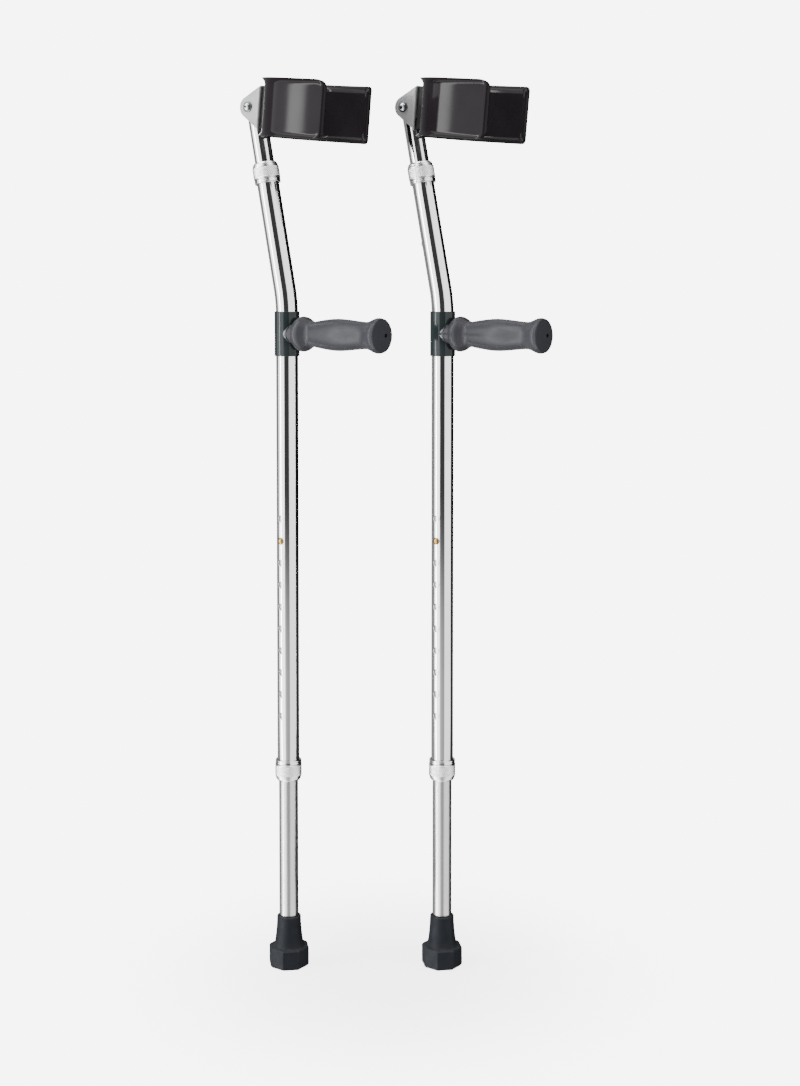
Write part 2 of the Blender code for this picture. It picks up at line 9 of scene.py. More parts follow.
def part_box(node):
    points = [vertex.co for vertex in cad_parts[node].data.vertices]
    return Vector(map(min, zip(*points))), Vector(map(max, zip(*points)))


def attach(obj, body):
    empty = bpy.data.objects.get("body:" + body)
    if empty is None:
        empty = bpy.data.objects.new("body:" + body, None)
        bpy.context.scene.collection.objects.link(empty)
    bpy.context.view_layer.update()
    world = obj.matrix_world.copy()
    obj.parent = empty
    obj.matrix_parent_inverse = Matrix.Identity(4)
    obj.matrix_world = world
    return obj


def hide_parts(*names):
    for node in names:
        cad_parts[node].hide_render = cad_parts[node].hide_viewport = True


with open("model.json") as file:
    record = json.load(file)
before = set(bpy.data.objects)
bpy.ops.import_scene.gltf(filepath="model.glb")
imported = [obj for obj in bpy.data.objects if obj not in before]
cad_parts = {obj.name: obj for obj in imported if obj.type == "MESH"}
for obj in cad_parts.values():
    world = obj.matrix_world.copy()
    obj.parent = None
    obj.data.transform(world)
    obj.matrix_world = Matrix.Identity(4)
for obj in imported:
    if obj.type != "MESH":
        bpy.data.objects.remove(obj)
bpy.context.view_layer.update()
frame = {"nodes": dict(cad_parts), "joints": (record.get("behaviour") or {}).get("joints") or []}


def link(tree, source, target):
    tree.links.new(source, target)


def turnedBm(outline, steps=96):
    # outline: (radius, height) pairs; open where it meets the axis, closed otherwise
    bm = bmesh.new()
    verts = [bm.verts.new((radius, 0.0, height)) for radius, height in outline]
    pairs = list(zip(verts, verts[1:]))
    if outline[0][0] > 0 or outline[-1][0] > 0:
        pairs.append((verts[-1], verts[0]))
    edges = [bm.edges.new(pair) for pair in pairs]
    bmesh.ops.spin(
        bm, geom=verts + edges, cent=(0, 0, 0), axis=(0, 0, 1), dvec=(0, 0, 0),
        angle=2 * math.pi, steps=steps, use_merge=True, use_duplicate=False,
    )
    bmesh.ops.remove_doubles(bm, verts=bm.verts, dist=1e-7)
    bmesh.ops.recalc_face_normals(bm, faces=bm.faces)
    return bm


def softenEdges(bm, width, segments=2, sharperThan=25.0):
    limit = math.radians(sharperThan)
    edges = [e for e in bm.edges if e.is_manifold and e.calc_face_angle(0.0) > limit]
    bmesh.ops.bevel(
        bm, geom=edges, offset=width, offset_type="OFFSET", affect="EDGES", segments=segments,
        profile=0.5, material=-1, clamp_overlap=True,
    )
    return bm


def boxBm(low, high):
    bm = bmesh.new()
    bmesh.ops.create_cube(bm, size=1.0)
    low, high = Vector(low), Vector(high)
    bmesh.ops.scale(bm, vec=high - low, verts=bm.verts)
    bmesh.ops.translate(bm, vec=(low + high) / 2, verts=bm.verts)
    return bm


def rodBm(radius, low, high, sides=48):
    bm = bmesh.new()
    bmesh.ops.create_cone(
        bm, cap_ends=True, segments=sides, radius1=radius, radius2=radius, depth=high - low,
        matrix=Matrix.Translation((0, 0, (low + high) / 2)),
    )
    return bm


def looseObject(bm):
    mesh = bpy.data.meshes.new("loose")
    bm.to_mesh(mesh)
    bm.free()
    obj = bpy.data.objects.new("loose", mesh)
    bpy.context.scene.collection.objects.link(obj)
    return obj


def combined(bm, others, operation="DIFFERENCE"):
    # each other is a (bmesh, matrix); the boolean is worked out at once and the helpers removed
    target = looseObject(bm)
    helpers = []
    for other, matrix in others:
        other.transform(matrix)
        helper = looseObject(other)
        helpers.append(helper)
        modifier = target.modifiers.new("cut", "BOOLEAN")
        modifier.operation = operation
        modifier.solver = "EXACT"
        modifier.object = helper
    bpy.context.view_layer.update()
    depsgraph = bpy.context.evaluated_depsgraph_get()
    result = bmesh.new()
    result.from_mesh(target.evaluated_get(depsgraph).to_mesh())
    for obj in [target] + helpers:
        mesh = obj.data
        bpy.data.objects.remove(obj)
        bpy.data.meshes.remove(mesh)
    bmesh.ops.remove_doubles(result, verts=result.verts, dist=1e-7)
    return result


def finishPiece(bm, side, name, matrix, material, body, smoothUnder=38.0, tube=None):
    # the place goes into the mesh; tube is the matrix whose +Z the drawing lines follow
    bm.transform(matrix)
    mesh = bpy.data.meshes.new(name)
    bm.to_mesh(mesh)
    bm.free()
    mesh.shade_smooth()
    mesh.set_sharp_from_angle(angle=math.radians(smoothUnder))
    mesh.materials.append(materials[material])
    piece = bpy.data.objects.new(side + "_" + name, mesh)
    bpy.context.scene.collection.objects.link(piece)
    if tube:
        storeDrawing(mesh, tube)
    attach(piece, side + "_" + body)
    return piece


def storeDrawing(mesh, straighten):
    # where each point lies along the straightened tube, for lines left by drawing and polishing
    attribute = mesh.attributes.new("drawn", "FLOAT_VECTOR", "POINT")
    for vert, item in zip(mesh.vertices, attribute.data):
        item.vector = straighten(vert.co)


def arcPoints(radius, start, end, steps, centre=(0.0, 0.0)):
    angles = [math.radians(start + (end - start) * i / steps) for i in range(steps + 1)]
    return [
        (centre[0] + radius * math.cos(a), centre[1] + radius * math.sin(a)) for a in angles
    ]


def flowing(points, perSpan=6):
    # a smooth line through the points (Catmull-Rom)
    ends = [points[0]] + list(points) + [points[-1]]
    out = []
    for i in range(1, len(ends) - 2):
        a, b, c, d = (Vector(p) for p in ends[i - 1:i + 3])
        for k in range(perSpan):
            t = k / perSpan
            out.append(tuple(
                0.5 * (2 * b + (c - a) * t + (2 * a - 5 * b + 4 * c - d) * t * t
                       + (3 * b - a - 3 * c + d) * t ** 3)
            ))
    return out + [tuple(points[-1])]


def smoothStep(low, high, value):
    t = min(1.0, max(0.0, (value - low) / (high - low)))
    return t * t * (3 - 2 * t)


def newGroup(name, inputs, outputs):
    # a surface effect shared by several materials
    tree = bpy.data.node_groups.new(name, "ShaderNodeTree")
    for label, kind, value in inputs:
        socket = tree.interface.new_socket(name=label, in_out="INPUT", socket_type=kind)
        if value is not None:
            socket.default_value = value
    for label, kind in outputs:
        tree.interface.new_socket(name=label, in_out="OUTPUT", socket_type=kind)
    return tree, tree.nodes.new("NodeGroupInput"), tree.nodes.new("NodeGroupOutput")


def mathNode(tree, operation, first, second=None, third=None):
    node = tree.nodes.new("ShaderNodeMath")
    node.operation = operation
    for socket, value in zip(node.inputs, (first, second, third)):
        if value is None:
            continue
        if isinstance(value, (int, float)):
            socket.default_value = value
        else:
            link(tree, value, socket)
    return node.outputs[0]


def noiseNode(tree, vector, scale, detail=2.0, roughness=0.5):
    node = tree.nodes.new("ShaderNodeTexNoise")
    link(tree, vector, node.inputs["Vector"])
    for label, value in (("Scale", scale), ("Detail", detail), ("Roughness", roughness)):
        if isinstance(value, (int, float)):
            node.inputs[label].default_value = value
        else:
            link(tree, value, node.inputs[label])
    return node.outputs["Fac"]


def makeGrainGroup():
    # fine moulded or cast grain: a height for bump and a slow mottle for colour
    tree, given, out = newGroup(
        "surfaceGrain",
        [("Vector", "NodeSocketVector", None), ("Grain Scale", "NodeSocketFloat", 1800.0),
         ("Mottle Scale", "NodeSocketFloat", 40.0)],
        [("Height", "NodeSocketFloat"), ("Mottle", "NodeSocketFloat")],
    )
    fine = noiseNode(tree, given.outputs["Vector"], given.outputs["Grain Scale"], 3.0, 0.6)
    slow = noiseNode(tree, given.outputs["Vector"], given.outputs["Mottle Scale"], 4.0, 0.55)
    link(tree, fine, out.inputs["Height"])
    link(tree, slow, out.inputs["Mottle"])
    return tree


def makeDrawnGroup():
    # lines left along a drawn and polished tube, and the faint smears of handling
    tree, given, out = newGroup(
        "drawnLines",
        [("Vector", "NodeSocketVector", None), ("Across Scale", "NodeSocketFloat", 1500.0),
         ("Along", "NodeSocketFloat", 0.012)],
        [("Height", "NodeSocketFloat"), ("Smear", "NodeSocketFloat")],
    )
    split = tree.nodes.new("ShaderNodeSeparateXYZ")
    join = tree.nodes.new("ShaderNodeCombineXYZ")
    link(tree, given.outputs["Vector"], split.inputs[0])
    link(tree, split.outputs["X"], join.inputs["X"])
    link(tree, split.outputs["Y"], join.inputs["Y"])
    link(tree, mathNode(tree, "MULTIPLY", split.outputs["Z"], given.outputs["Along"]),
         join.inputs["Z"])
    lines = noiseNode(tree, join.outputs[0], given.outputs["Across Scale"], 2.0, 0.6)
    smear = noiseNode(tree, given.outputs["Vector"], 22.0, 5.0, 0.6)
    link(tree, lines, out.inputs["Height"])
    link(tree, smear, out.inputs["Smear"])
    return tree


def makeDustGroup():
    # pale dust in patches that settles most on faces that look up
    tree, given, out = newGroup(
        "settledDust",
        [("Vector", "NodeSocketVector", None), ("Normal", "NodeSocketVector", None),
         ("Amount", "NodeSocketFloat", 0.2)],
        [("Mask", "NodeSocketFloat")],
    )
    split = tree.nodes.new("ShaderNodeSeparateXYZ")
    link(tree, given.outputs["Normal"], split.inputs[0])
    upward = mathNode(tree, "MAXIMUM", split.outputs["Z"], 0.15)
    patches = noiseNode(tree, given.outputs["Vector"], 160.0, 6.0, 0.7)
    speckled = mathNode(tree, "MULTIPLY", upward, patches)
    link(tree, mathNode(tree, "MULTIPLY", speckled, given.outputs["Amount"]), out.inputs["Mask"])
    return tree


grainGroup = makeGrainGroup()
drawnGroup = makeDrawnGroup()
dustGroup = makeDustGroup()


def placeGroup(tree, group, vector, **values):
    node = tree.nodes.new("ShaderNodeGroup")
    node.node_tree = group
    link(tree, vector, node.inputs["Vector"])
    for label, value in values.items():
        node.inputs[label].default_value = value
    return node


def rampBetween(tree, factor, first, second, low=0.3, high=0.7):
    ramp = tree.nodes.new("ShaderNodeValToRGB")
    ramp.color_ramp.elements[0].position, ramp.color_ramp.elements[1].position = low, high
    ramp.color_ramp.elements[0].color = (*first, 1.0)
    ramp.color_ramp.elements[1].color = (*second, 1.0)
    link(tree, factor, ramp.inputs["Fac"])
    return ramp.outputs["Color"]


def rangeOf(tree, value, low, high):
    node = tree.nodes.new("ShaderNodeMapRange")
    node.inputs["To Min"].default_value, node.inputs["To Max"].default_value = low, high
    node.inputs["From Min"].default_value, node.inputs["From Max"].default_value = 0.3, 0.7
    link(tree, value, node.inputs["Value"])
    return node.outputs["Result"]


def bumpFrom(tree, height, strength, distance):
    node = tree.nodes.new("ShaderNodeBump")
    node.inputs["Strength"].default_value = strength
    node.inputs["Distance"].default_value = distance
    link(tree, height, node.inputs["Height"])
    return node.outputs["Normal"]


def newMaterial(name, **values):
    material = bpy.data.materials.new(name)
    material.use_nodes = True
    tree = material.node_tree
    shader = tree.nodes["Principled BSDF"]
    for label, value in values.items():
        shader.inputs[label].default_value = value
    coordinates = tree.nodes.new("ShaderNodeTexCoord")
    return material, tree, shader, coordinates.outputs["Object"]


# finishes: two close colours, a range of roughness, then the scale and height of the fine marks
tubeFinishes = {
    "polishedTube": dict(colour=(0.86, 0.86, 0.87), dull=(0.79, 0.79, 0.81), rough=(0.055, 0.10),
                         lines=1500.0, bump=0.03),
    "satinTube": dict(colour=(0.60, 0.60, 0.61), dull=(0.54, 0.54, 0.55), rough=(0.20, 0.28),
                      lines=2600.0, bump=0.20),
}

metalFinishes = {
    "collarMetal": dict(colour=(0.88, 0.88, 0.88), dull=(0.78, 0.78, 0.78), rough=(0.20, 0.32),
                        grain=2400.0, bump=0.10),
    "bracketSteel": dict(colour=(0.235, 0.237, 0.235), dull=(0.205, 0.207, 0.205), rough=(0.26, 0.34),
                         grain=900.0, bump=0.03, metallic=0.2),
    "ferruleMetal": dict(colour=(0.84, 0.84, 0.85), dull=(0.76, 0.76, 0.77), rough=(0.08, 0.13),
                         grain=2400.0, bump=0.02),
    "fastenerSteel": dict(colour=(0.46, 0.47, 0.49), dull=(0.34, 0.35, 0.37), rough=(0.14, 0.24),
                          grain=1600.0, bump=0.06),
    "washerSteel": dict(colour=(0.085, 0.087, 0.092), dull=(0.055, 0.057, 0.062), rough=(0.16, 0.26),
                        grain=1600.0, bump=0.06),
    "springSteel": dict(colour=(0.38, 0.39, 0.42), dull=(0.28, 0.29, 0.33), rough=(0.28, 0.42),
                        grain=1400.0, bump=0.10),
    "brass": dict(colour=(0.36, 0.235, 0.072), dull=(0.25, 0.155, 0.042), rough=(0.14, 0.24),
                  grain=1500.0, bump=0.08),
}

# plastics, paint and rubber also have a slow mottle and how strongly they shine
plasticFinishes = {
    "gripVinyl": dict(colour=(0.0300, 0.0300, 0.0350), dull=(0.0260, 0.0260, 0.0305), rough=(0.27, 0.34),
                      grain=2600.0, mottle=60.0, bump=0.12, gloss=0.15),
    "cuffVinyl": dict(colour=(0.0105, 0.0088, 0.0102), dull=(0.0078, 0.0064, 0.0076), rough=(0.06, 0.09),
                      grain=900.0, mottle=28.0, bump=0.02, gloss=0.085),
    "sleevePaint": dict(colour=(0.0150, 0.0205, 0.0212), dull=(0.0120, 0.0165, 0.0172), rough=(0.07, 0.11),
                        grain=520.0, mottle=50.0, bump=0.02, gloss=0.24),
    "tipRubber": dict(colour=(0.0085, 0.0100, 0.0135), dull=(0.0060, 0.0070, 0.0095), rough=(0.45, 0.60),
                      grain=2200.0, mottle=90.0, bump=0.26, gloss=0.08),
    "nylon": dict(colour=(0.76, 0.75, 0.71), dull=(0.68, 0.67, 0.62), rough=(0.40, 0.52),
                  grain=1500.0, mottle=80.0, bump=0.10, gloss=0.30),
    "blackNylon": dict(colour=(0.016, 0.016, 0.017), dull=(0.010, 0.010, 0.011), rough=(0.38, 0.52),
                       grain=1500.0, mottle=80.0, bump=0.12, gloss=0.10),
}


def makeTubeMaterial(name, finish):
    material, tree, shader, _ = newMaterial(name, Metallic=1.0)
    drawn = tree.nodes.new("ShaderNodeAttribute")
    drawn.attribute_name = "drawn"
    lines = placeGroup(tree, drawnGroup, drawn.outputs["Vector"],
                       **{"Across Scale": finish["lines"]})
    link(tree, rampBetween(tree, lines.outputs["Smear"], finish["colour"], finish["dull"]),
         shader.inputs["Base Color"])
    mixed = mathNode(tree, "MULTIPLY_ADD", lines.outputs["Height"], 0.5,
                     mathNode(tree, "MULTIPLY", lines.outputs["Smear"], 0.5))
    link(tree, rangeOf(tree, mixed, *finish["rough"]), shader.inputs["Roughness"])
    link(tree, bumpFrom(tree, lines.outputs["Height"], finish["bump"], 0.00004),
         shader.inputs["Normal"])
    return material


def makeMetalMaterial(name, finish):
    material, tree, shader, spot = newMaterial(name, Metallic=finish.get("metallic", 1.0))
    grain = placeGroup(tree, grainGroup, spot,
                       **{"Grain Scale": finish["grain"], "Mottle Scale": 120.0})
    link(tree, rampBetween(tree, grain.outputs["Mottle"], finish["colour"], finish["dull"]),
         shader.inputs["Base Color"])
    link(tree, rangeOf(tree, grain.outputs["Mottle"], *finish["rough"]),
         shader.inputs["Roughness"])
    link(tree, bumpFrom(tree, grain.outputs["Height"], finish["bump"], 0.00008),
         shader.inputs["Normal"])
    return material


def makePlasticMaterial(name, finish):
    material, tree, shader, spot = newMaterial(
        name, **{"Specular IOR Level": finish["gloss"]}
    )
    grain = placeGroup(
        tree, grainGroup, spot,
        **{"Grain Scale": finish["grain"], "Mottle Scale": finish["mottle"]},
    )
    colour = rampBetween(tree, grain.outputs["Mottle"], finish["colour"], finish["dull"])
    if name == "tipRubber":
        geometry = tree.nodes.new("ShaderNodeNewGeometry")
        dust = placeGroup(tree, dustGroup, spot, Amount=0.08)
        link(tree, geometry.outputs["Normal"], dust.inputs["Normal"])
        mix = tree.nodes.new("ShaderNodeMix")
        mix.data_type = "RGBA"
        mix.inputs["B"].default_value = (0.36, 0.36, 0.35, 1.0)
        link(tree, dust.outputs["Mask"], mix.inputs["Factor"])
        link(tree, colour, mix.inputs["A"])
        colour = mix.outputs["Result"]
    link(tree, colour, shader.inputs["Base Color"])
    link(tree, rangeOf(tree, grain.outputs["Mottle"], *finish["rough"]),
         shader.inputs["Roughness"])
    link(tree, bumpFrom(tree, grain.outputs["Height"], finish["bump"], 0.00012),
         shader.inputs["Normal"])
    return material


materials = {}
for finishName, finish in tubeFinishes.items():
    materials[finishName] = makeTubeMaterial(finishName, finish)
for finishName, finish in metalFinishes.items():
    materials[finishName] = makeMetalMaterial(finishName, finish)
for finishName, finish in plasticFinishes.items():
    materials[finishName] = makePlasticMaterial(finishName, finish)
print("finishes made:", ", ".join(materials))


def centreOf(node):
    low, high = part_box(node)
    return (low + high) / 2


jointAxes = {joint["name"]: Vector(joint["axis"]) for joint in frame["joints"]}

places = {}  # for each side: the matrices of its upright run, leaning run, cuff and handgrip
forward = Matrix.Rotation(math.radians(90), 4, "X")    # local +Z turned to the front, -Y
backward = Matrix.Rotation(math.radians(-90), 4, "X")
outward = Matrix.Rotation(math.radians(-90), 4, "Y")   # local +Z turned to -X
inward = Matrix.Rotation(math.radians(90), 4, "Y")
downward = Matrix.Rotation(math.radians(180), 4, "X")
cuffTilt = math.radians(5.5)  # how far the cuff leans forward from upright

for side in ("right", "left"):
    leg = centreOf(side + "_leg_tube")
    pivot = centreOf(side + "_pivot_bolt")
    lean = jointAxes[side + "_forearm_slide"]
    leanAngle = math.atan2(lean.y, lean.z)
    bendHeight = pivot.z - (pivot.y - leg.y) / math.tan(leanAngle)
    gripHeight = centreOf(side + "_handgrip").z
    upright = Matrix.Translation((leg.x, leg.y, 0.0))
    leaning = Matrix.Translation((leg.x, leg.y, bendHeight)) @ Matrix.Rotation(-leanAngle, 4, "X")
    places[side] = {
        "upright": upright,
        "leaning": leaning,
        "cuff": Matrix.Translation((leg.x, pivot.y, pivot.z)) @ Matrix.Rotation(cuffTilt, 4, "X"),
        "grip": upright @ Matrix.Translation((0, 0, gripHeight)) @ forward,
        "pivotAlong": (pivot - leaning.translation).dot(lean),
    }

gap = 0.0003  # clearance between pieces that touch
collarLength = 0.0240
tubeEndInCollar = 0.0120
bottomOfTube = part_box("right_main_tube")[0].z
lowerCollarTop = bottomOfTube + tubeEndInCollar

tubeSizes = {
    "outerRadius": 0.0127, "outerBore": 0.0115, "innerRadius": 0.0111, "innerBore": 0.0099,
    "sides": 96, "bendRadius": 0.160, "holeRadius": 0.0041, "holePitch": 0.0254,
    "legHoleTop": 0.5237, "legHoles": 10, "forearmButton": 0.0700, "forearmHoles": 4,
    "collarAlong": 0.1383, "forearmBottom": 0.0425, "endRadius": 0.0117, "rim": 0.0004,
    "bendSteps": 14, "innerWallReach": 0.0140, "roundFrom": 0.0060,
}

plugSizes = {"clearance": 0.0004, "corner": 0.0088, "topRings": (0.0, 0.0025, 0.0050, 0.0075, 0.0088),
             "depth": 0.0110}
pivotHole = 0.00335  # radius of the hole that the bolt goes through, in every piece


def tubeBm(outer, bore, stations):
    # open wall with a ring of points at each station; ends get a small rounded rim
    outline = [(outer, z) for z in reversed(stations)] + [(bore, z) for z in stations]
    bm = turnedBm(outline, tubeSizes["sides"])
    return softenEdges(bm, tubeSizes["rim"], 2, 60)


def aroundHoles(low, high, holes, reach=0.006):
    # stations that keep each hole in a short band of the wall
    stations = {low, high}
    for height in holes:
        stations.update((height - reach, height + reach))
    return sorted(z for z in stations if low <= z <= high)


def drill(matrix, low=0.0060, high=0.0160):
    return rodBm(tubeSizes["holeRadius"], low, high, 40), matrix


def makeMainTube(side):
    size = tubeSizes
    place = places[side]
    angle = -place["leaning"].to_euler().x
    corner = place["leaning"].translation.z
    reach = size["bendRadius"] * math.tan(angle / 2)
    start = corner - reach
    curved = size["bendRadius"] * angle
    top = start + curved + size["collarAlong"] + tubeEndInCollar - reach
    legHoles = [size["legHoleTop"] - k * size["holePitch"] for k in range(size["legHoles"])]
    rearHoles = [size["forearmButton"] + (k - 1) * size["holePitch"]
                 for k in range(size["forearmHoles"])]
    bendSteps = size["bendSteps"]
    stations = aroundHoles(bottomOfTube, start - 0.001, legHoles)
    stations += [start + curved * k / bendSteps for k in range(bendSteps + 1)]
    stations += aroundHoles(start + curved + 0.001, top,
                            [start + curved - reach + s for s in rearHoles])
    bm = tubeBm(size["outerRadius"], size["outerBore"], stations)
    for vert in bm.verts:  # bend the straight tube towards the back
        past = min(max(vert.co.z - start, 0.0), curved)
        if past > 0:
            turn = past / size["bendRadius"]
            arm = size["bendRadius"] - vert.co.y
            extra = vert.co.z - start - past
            vert.co.y = size["bendRadius"] - arm * math.cos(turn) + extra * math.sin(turn)
            vert.co.z = start + arm * math.sin(turn) + extra * math.cos(turn)
    toRun = place["upright"].inverted() @ place["leaning"]
    holes = [drill(Matrix.Translation((0, 0, z)) @ outward) for z in legHoles]
    holes += [drill(toRun @ Matrix.Translation((0, 0, s)) @ backward) for s in rearHoles]
    bm = combined(bm, holes)

    def straighten(point):
        local = place["upright"].inverted() @ point
        if local.z < corner:
            return local
        return toRun.inverted() @ local + Vector((0, 0, corner))

    piece = finishPiece(bm, side, "mainTube", place["upright"], "polishedTube", "frame",
                        tube=straighten)
    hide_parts(side + "_main_tube")


def makeLegTube(side):
    size = tubeSizes
    low, high = (corner.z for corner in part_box(side + "_leg_tube"))
    button = centreOf(side + "_leg_button").z
    bm = tubeBm(size["innerRadius"], size["innerBore"], aroundHoles(low, high, [button]))
    hole = drill(Matrix.Translation((0, 0, button)) @ outward, high=size["innerWallReach"])
    bm = combined(bm, [hole])
    upright = places[side]["upright"]
    piece = finishPiece(bm, side, "legTube", upright, "satinTube", "leg",
                        tube=lambda point: upright.inverted() @ point)
    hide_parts(side + "_leg_tube")


def pivotBore(pivotAlong):
    # a rod that cuts the hole for the bolt right across the forearm tube
    reach = 0.0200
    across = Matrix.Translation((0, 0, pivotAlong)) @ outward
    return rodBm(pivotHole, -reach, reach, 40), across


def roundEnd(bm, radius, pivotAlong):
    # the end is rounded about the pivot, seen from the side
    for vert in bm.verts:
        if vert.co.z > pivotAlong + tubeSizes["roundFrom"]:
            below = pivotAlong + radius - vert.co.z
            vert.co.z = pivotAlong + math.sqrt(max(radius ** 2 - vert.co.y ** 2, 0.0)) - below


def makeForearmTube(side):
    size = tubeSizes
    pivotAlong = places[side]["pivotAlong"]
    top = pivotAlong + size["endRadius"]
    stations = aroundHoles(size["forearmBottom"], top,
                           [size["forearmButton"], pivotAlong - 0.0010])
    bm = tubeBm(size["innerRadius"], size["innerBore"], stations)
    roundEnd(bm, size["endRadius"], pivotAlong)
    button = drill(Matrix.Translation((0, 0, size["forearmButton"])) @ backward,
                   high=size["innerWallReach"])
    bm = combined(bm, [pivotBore(pivotAlong), button])
    leaning = places[side]["leaning"]
    piece = finishPiece(bm, side, "forearmTube", leaning, "polishedTube", "forearm",
                        tube=lambda point: leaning.inverted() @ point)
    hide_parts(side + "_forearm_tube")


def makeForearmPlug(side):
    size = plugSizes
    corner = size["corner"]
    pivotAlong = places[side]["pivotAlong"]
    radius, end = tubeSizes["innerBore"] - size["clearance"], tubeSizes["endRadius"] - gap
    top = pivotAlong + end
    outline = [(r, top) for r in size["topRings"]]
    outline += arcPoints(radius - corner, 90, 0, 4, (corner, top - radius + corner))
    outline += [(radius, pivotAlong - size["depth"]), (0.0, pivotAlong - size["depth"])]
    bm = turnedBm(outline, 64)
    roundEnd(bm, end, pivotAlong)
    bm = combined(bm, [pivotBore(pivotAlong)])
    piece = finishPiece(bm, side, "forearmPlug", places[side]["leaning"], "blackNylon", "forearm")
    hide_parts(side + "_forearm_plug")


for side in places:
    makeMainTube(side)
    makeLegTube(side)
    makeForearmTube(side)
    makeForearmPlug(side)
print("tubes made")


# the collars: a ferrule on the outer tube's end and a knurled lock nut over it
nutSizes = {
    "radius": 0.0154, "low": 0.0050, "high": 0.0190, "bore": 0.0144, "lip": 0.0115,
    "diamonds": 44, "rows": 44, "steps": 264, "depth": 0.00042, "plainBand": 0.0011,
    "groove": 0.30, "fade": 0.0007,
}

ferruleSizes = {"ring": 0.0150, "ringHeight": 0.0045, "neck": 0.0140, "bore": 0.01305}


def knurledNutBm(size):
    # local Z runs from the ferrule towards the tube's open end
    low, high, radius = size["low"], size["high"], size["radius"]
    first, last = low + size["plainBand"], high - size["plainBand"]
    outline = [
        (0.0127, collarLength), (0.0131, collarLength - 0.0002), (0.0134, collarLength - 0.0007),
        (radius - 0.0010, 0.0206), (radius - 0.0006, 0.0199), (radius - 0.0006, high),
        (radius - 0.0001, high - 0.0003), (radius - 0.0001, last + 0.0001),
    ]
    outline += [
        (radius - 0.0001, last + (first - last) * i / size["rows"])
        for i in range(size["rows"] + 1)
    ]
    outline += [
        (radius - 0.0001, first - 0.0001), (radius - 0.0001, low + 0.0004),
        (radius - 0.0005, low), (size["bore"], low), (size["bore"], 0.0218),
        (size["lip"], 0.0218), (size["lip"], collarLength - 0.0003),
        (size["lip"] + 0.0003, collarLength),
    ]
    bm = turnedBm(outline, size["steps"])
    pitch = 2 * math.pi * radius / size["diamonds"]
    for vert in bm.verts:
        across = math.hypot(vert.co.x, vert.co.y)
        if across < radius - 0.0003 or not first <= vert.co.z <= last:
            continue
        along = vert.co.z / pitch
        turn = math.atan2(vert.co.y, vert.co.x) / (2 * math.pi) * size["diamonds"]
        grooves = min(abs((turn + along + 0.5) % 1 - 0.5), abs((turn - along + 0.5) % 1 - 0.5))
        edge = smoothStep(0, size["fade"], min(vert.co.z - first, last - vert.co.z))
        cut = size["depth"] * edge * (1 - min(1.0, grooves / size["groove"]))
        vert.co.xy *= (across - cut) / across
    return bm


def makeCollar(side, which, matrix):
    size = ferruleSizes
    end = size["ringHeight"]
    outline = [
        (size["neck"], tubeEndInCollar), (size["neck"], end + 0.0001), (size["ring"] - 0.0006, end),
        (size["ring"], end - 0.0006), (size["ring"], 0.0026), (size["ring"] - 0.0003, 0.0023),
        (size["ring"] - 0.0003, 0.0020), (size["ring"], 0.0017), (size["ring"], 0.0005),
        (size["ring"] - 0.0005, 0.0), (size["bore"] + 0.0002, 0.0), (size["bore"], 0.0002),
        (size["bore"], tubeEndInCollar),
    ]
    ferrule = finishPiece(turnedBm(outline), side, which + "Ferrule", matrix, "ferruleMetal", "frame",
                          smoothUnder=60)
    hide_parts(f"{side}_{which}_ferrule")
    nut = finishPiece(knurledNutBm(nutSizes), side, which + "LockNut", matrix, "collarMetal",
                      f"{which}_nut", smoothUnder=42)
    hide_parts(f"{side}_{which}_lock_nut")


for side, place in places.items():
    lowerAt = place["upright"] @ Matrix.Translation((0, 0, lowerCollarTop)) @ downward
    upperAt = place["leaning"] @ Matrix.Translation((0, 0, tubeSizes["collarAlong"]))
    makeCollar(side, "lower", lowerAt)
    makeCollar(side, "upper", upperAt)
print("collars made")


buttonSizes = {"flange": 0.0048, "stem": 0.0037, "flangeLow": 0.0074, "flangeHigh": 0.0082,
               "stemEnd": 0.0132, "top": 0.0150}


def makeButton(side, which, matrix):
    size = buttonSizes
    rise = size["top"] - size["stemEnd"]
    dome = [(size["stem"] * math.sin(a), size["stemEnd"] + rise * math.cos(a))
            for a in (math.radians(9 * k) for k in range(11))]
    dome[0] = (0.0, size["top"])
    outline = dome + [
        (size["stem"], size["flangeHigh"]), (size["flange"], size["flangeHigh"]),
        (size["flange"], size["flangeLow"]), (0.0, size["flangeLow"]),
    ]
    piece = finishPiece(turnedBm(outline, 48), side, which + "Button", matrix, "brass",
                        which + "_button")
    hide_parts(f"{side}_{which}_button")


for side, place in places.items():
    legAt = Matrix.Translation((0, 0, centreOf(side + "_leg_button").z))
    forearmAt = Matrix.Translation((0, 0, tubeSizes["forearmButton"]))
    makeButton(side, "leg", place["upright"] @ legAt @ outward)
    makeButton(side, "forearm", place["leaning"] @ forearmAt @ backward)
print("buttons made")


sleeveSizes = {"radius": 0.0144, "bore": 0.01305, "half": 0.0255, "rod": 0.0063, "rodEnd": 0.1120,
               "rim": 0.0005, "rodChamfer": 0.0010, "rodRoot": 0.0004, "rodFirstRing": 0.0024}

# how far the washer behind the grip reaches along the grip's axis before it is cut to the sleeve
saddleSizes = {"radius": 0.0138, "low": 0.0020, "high": 0.0170, "thick": 0.0013, "rim": 0.00025}

cutterHalf = 0.030  # half the length of a cutter that goes right through a piece

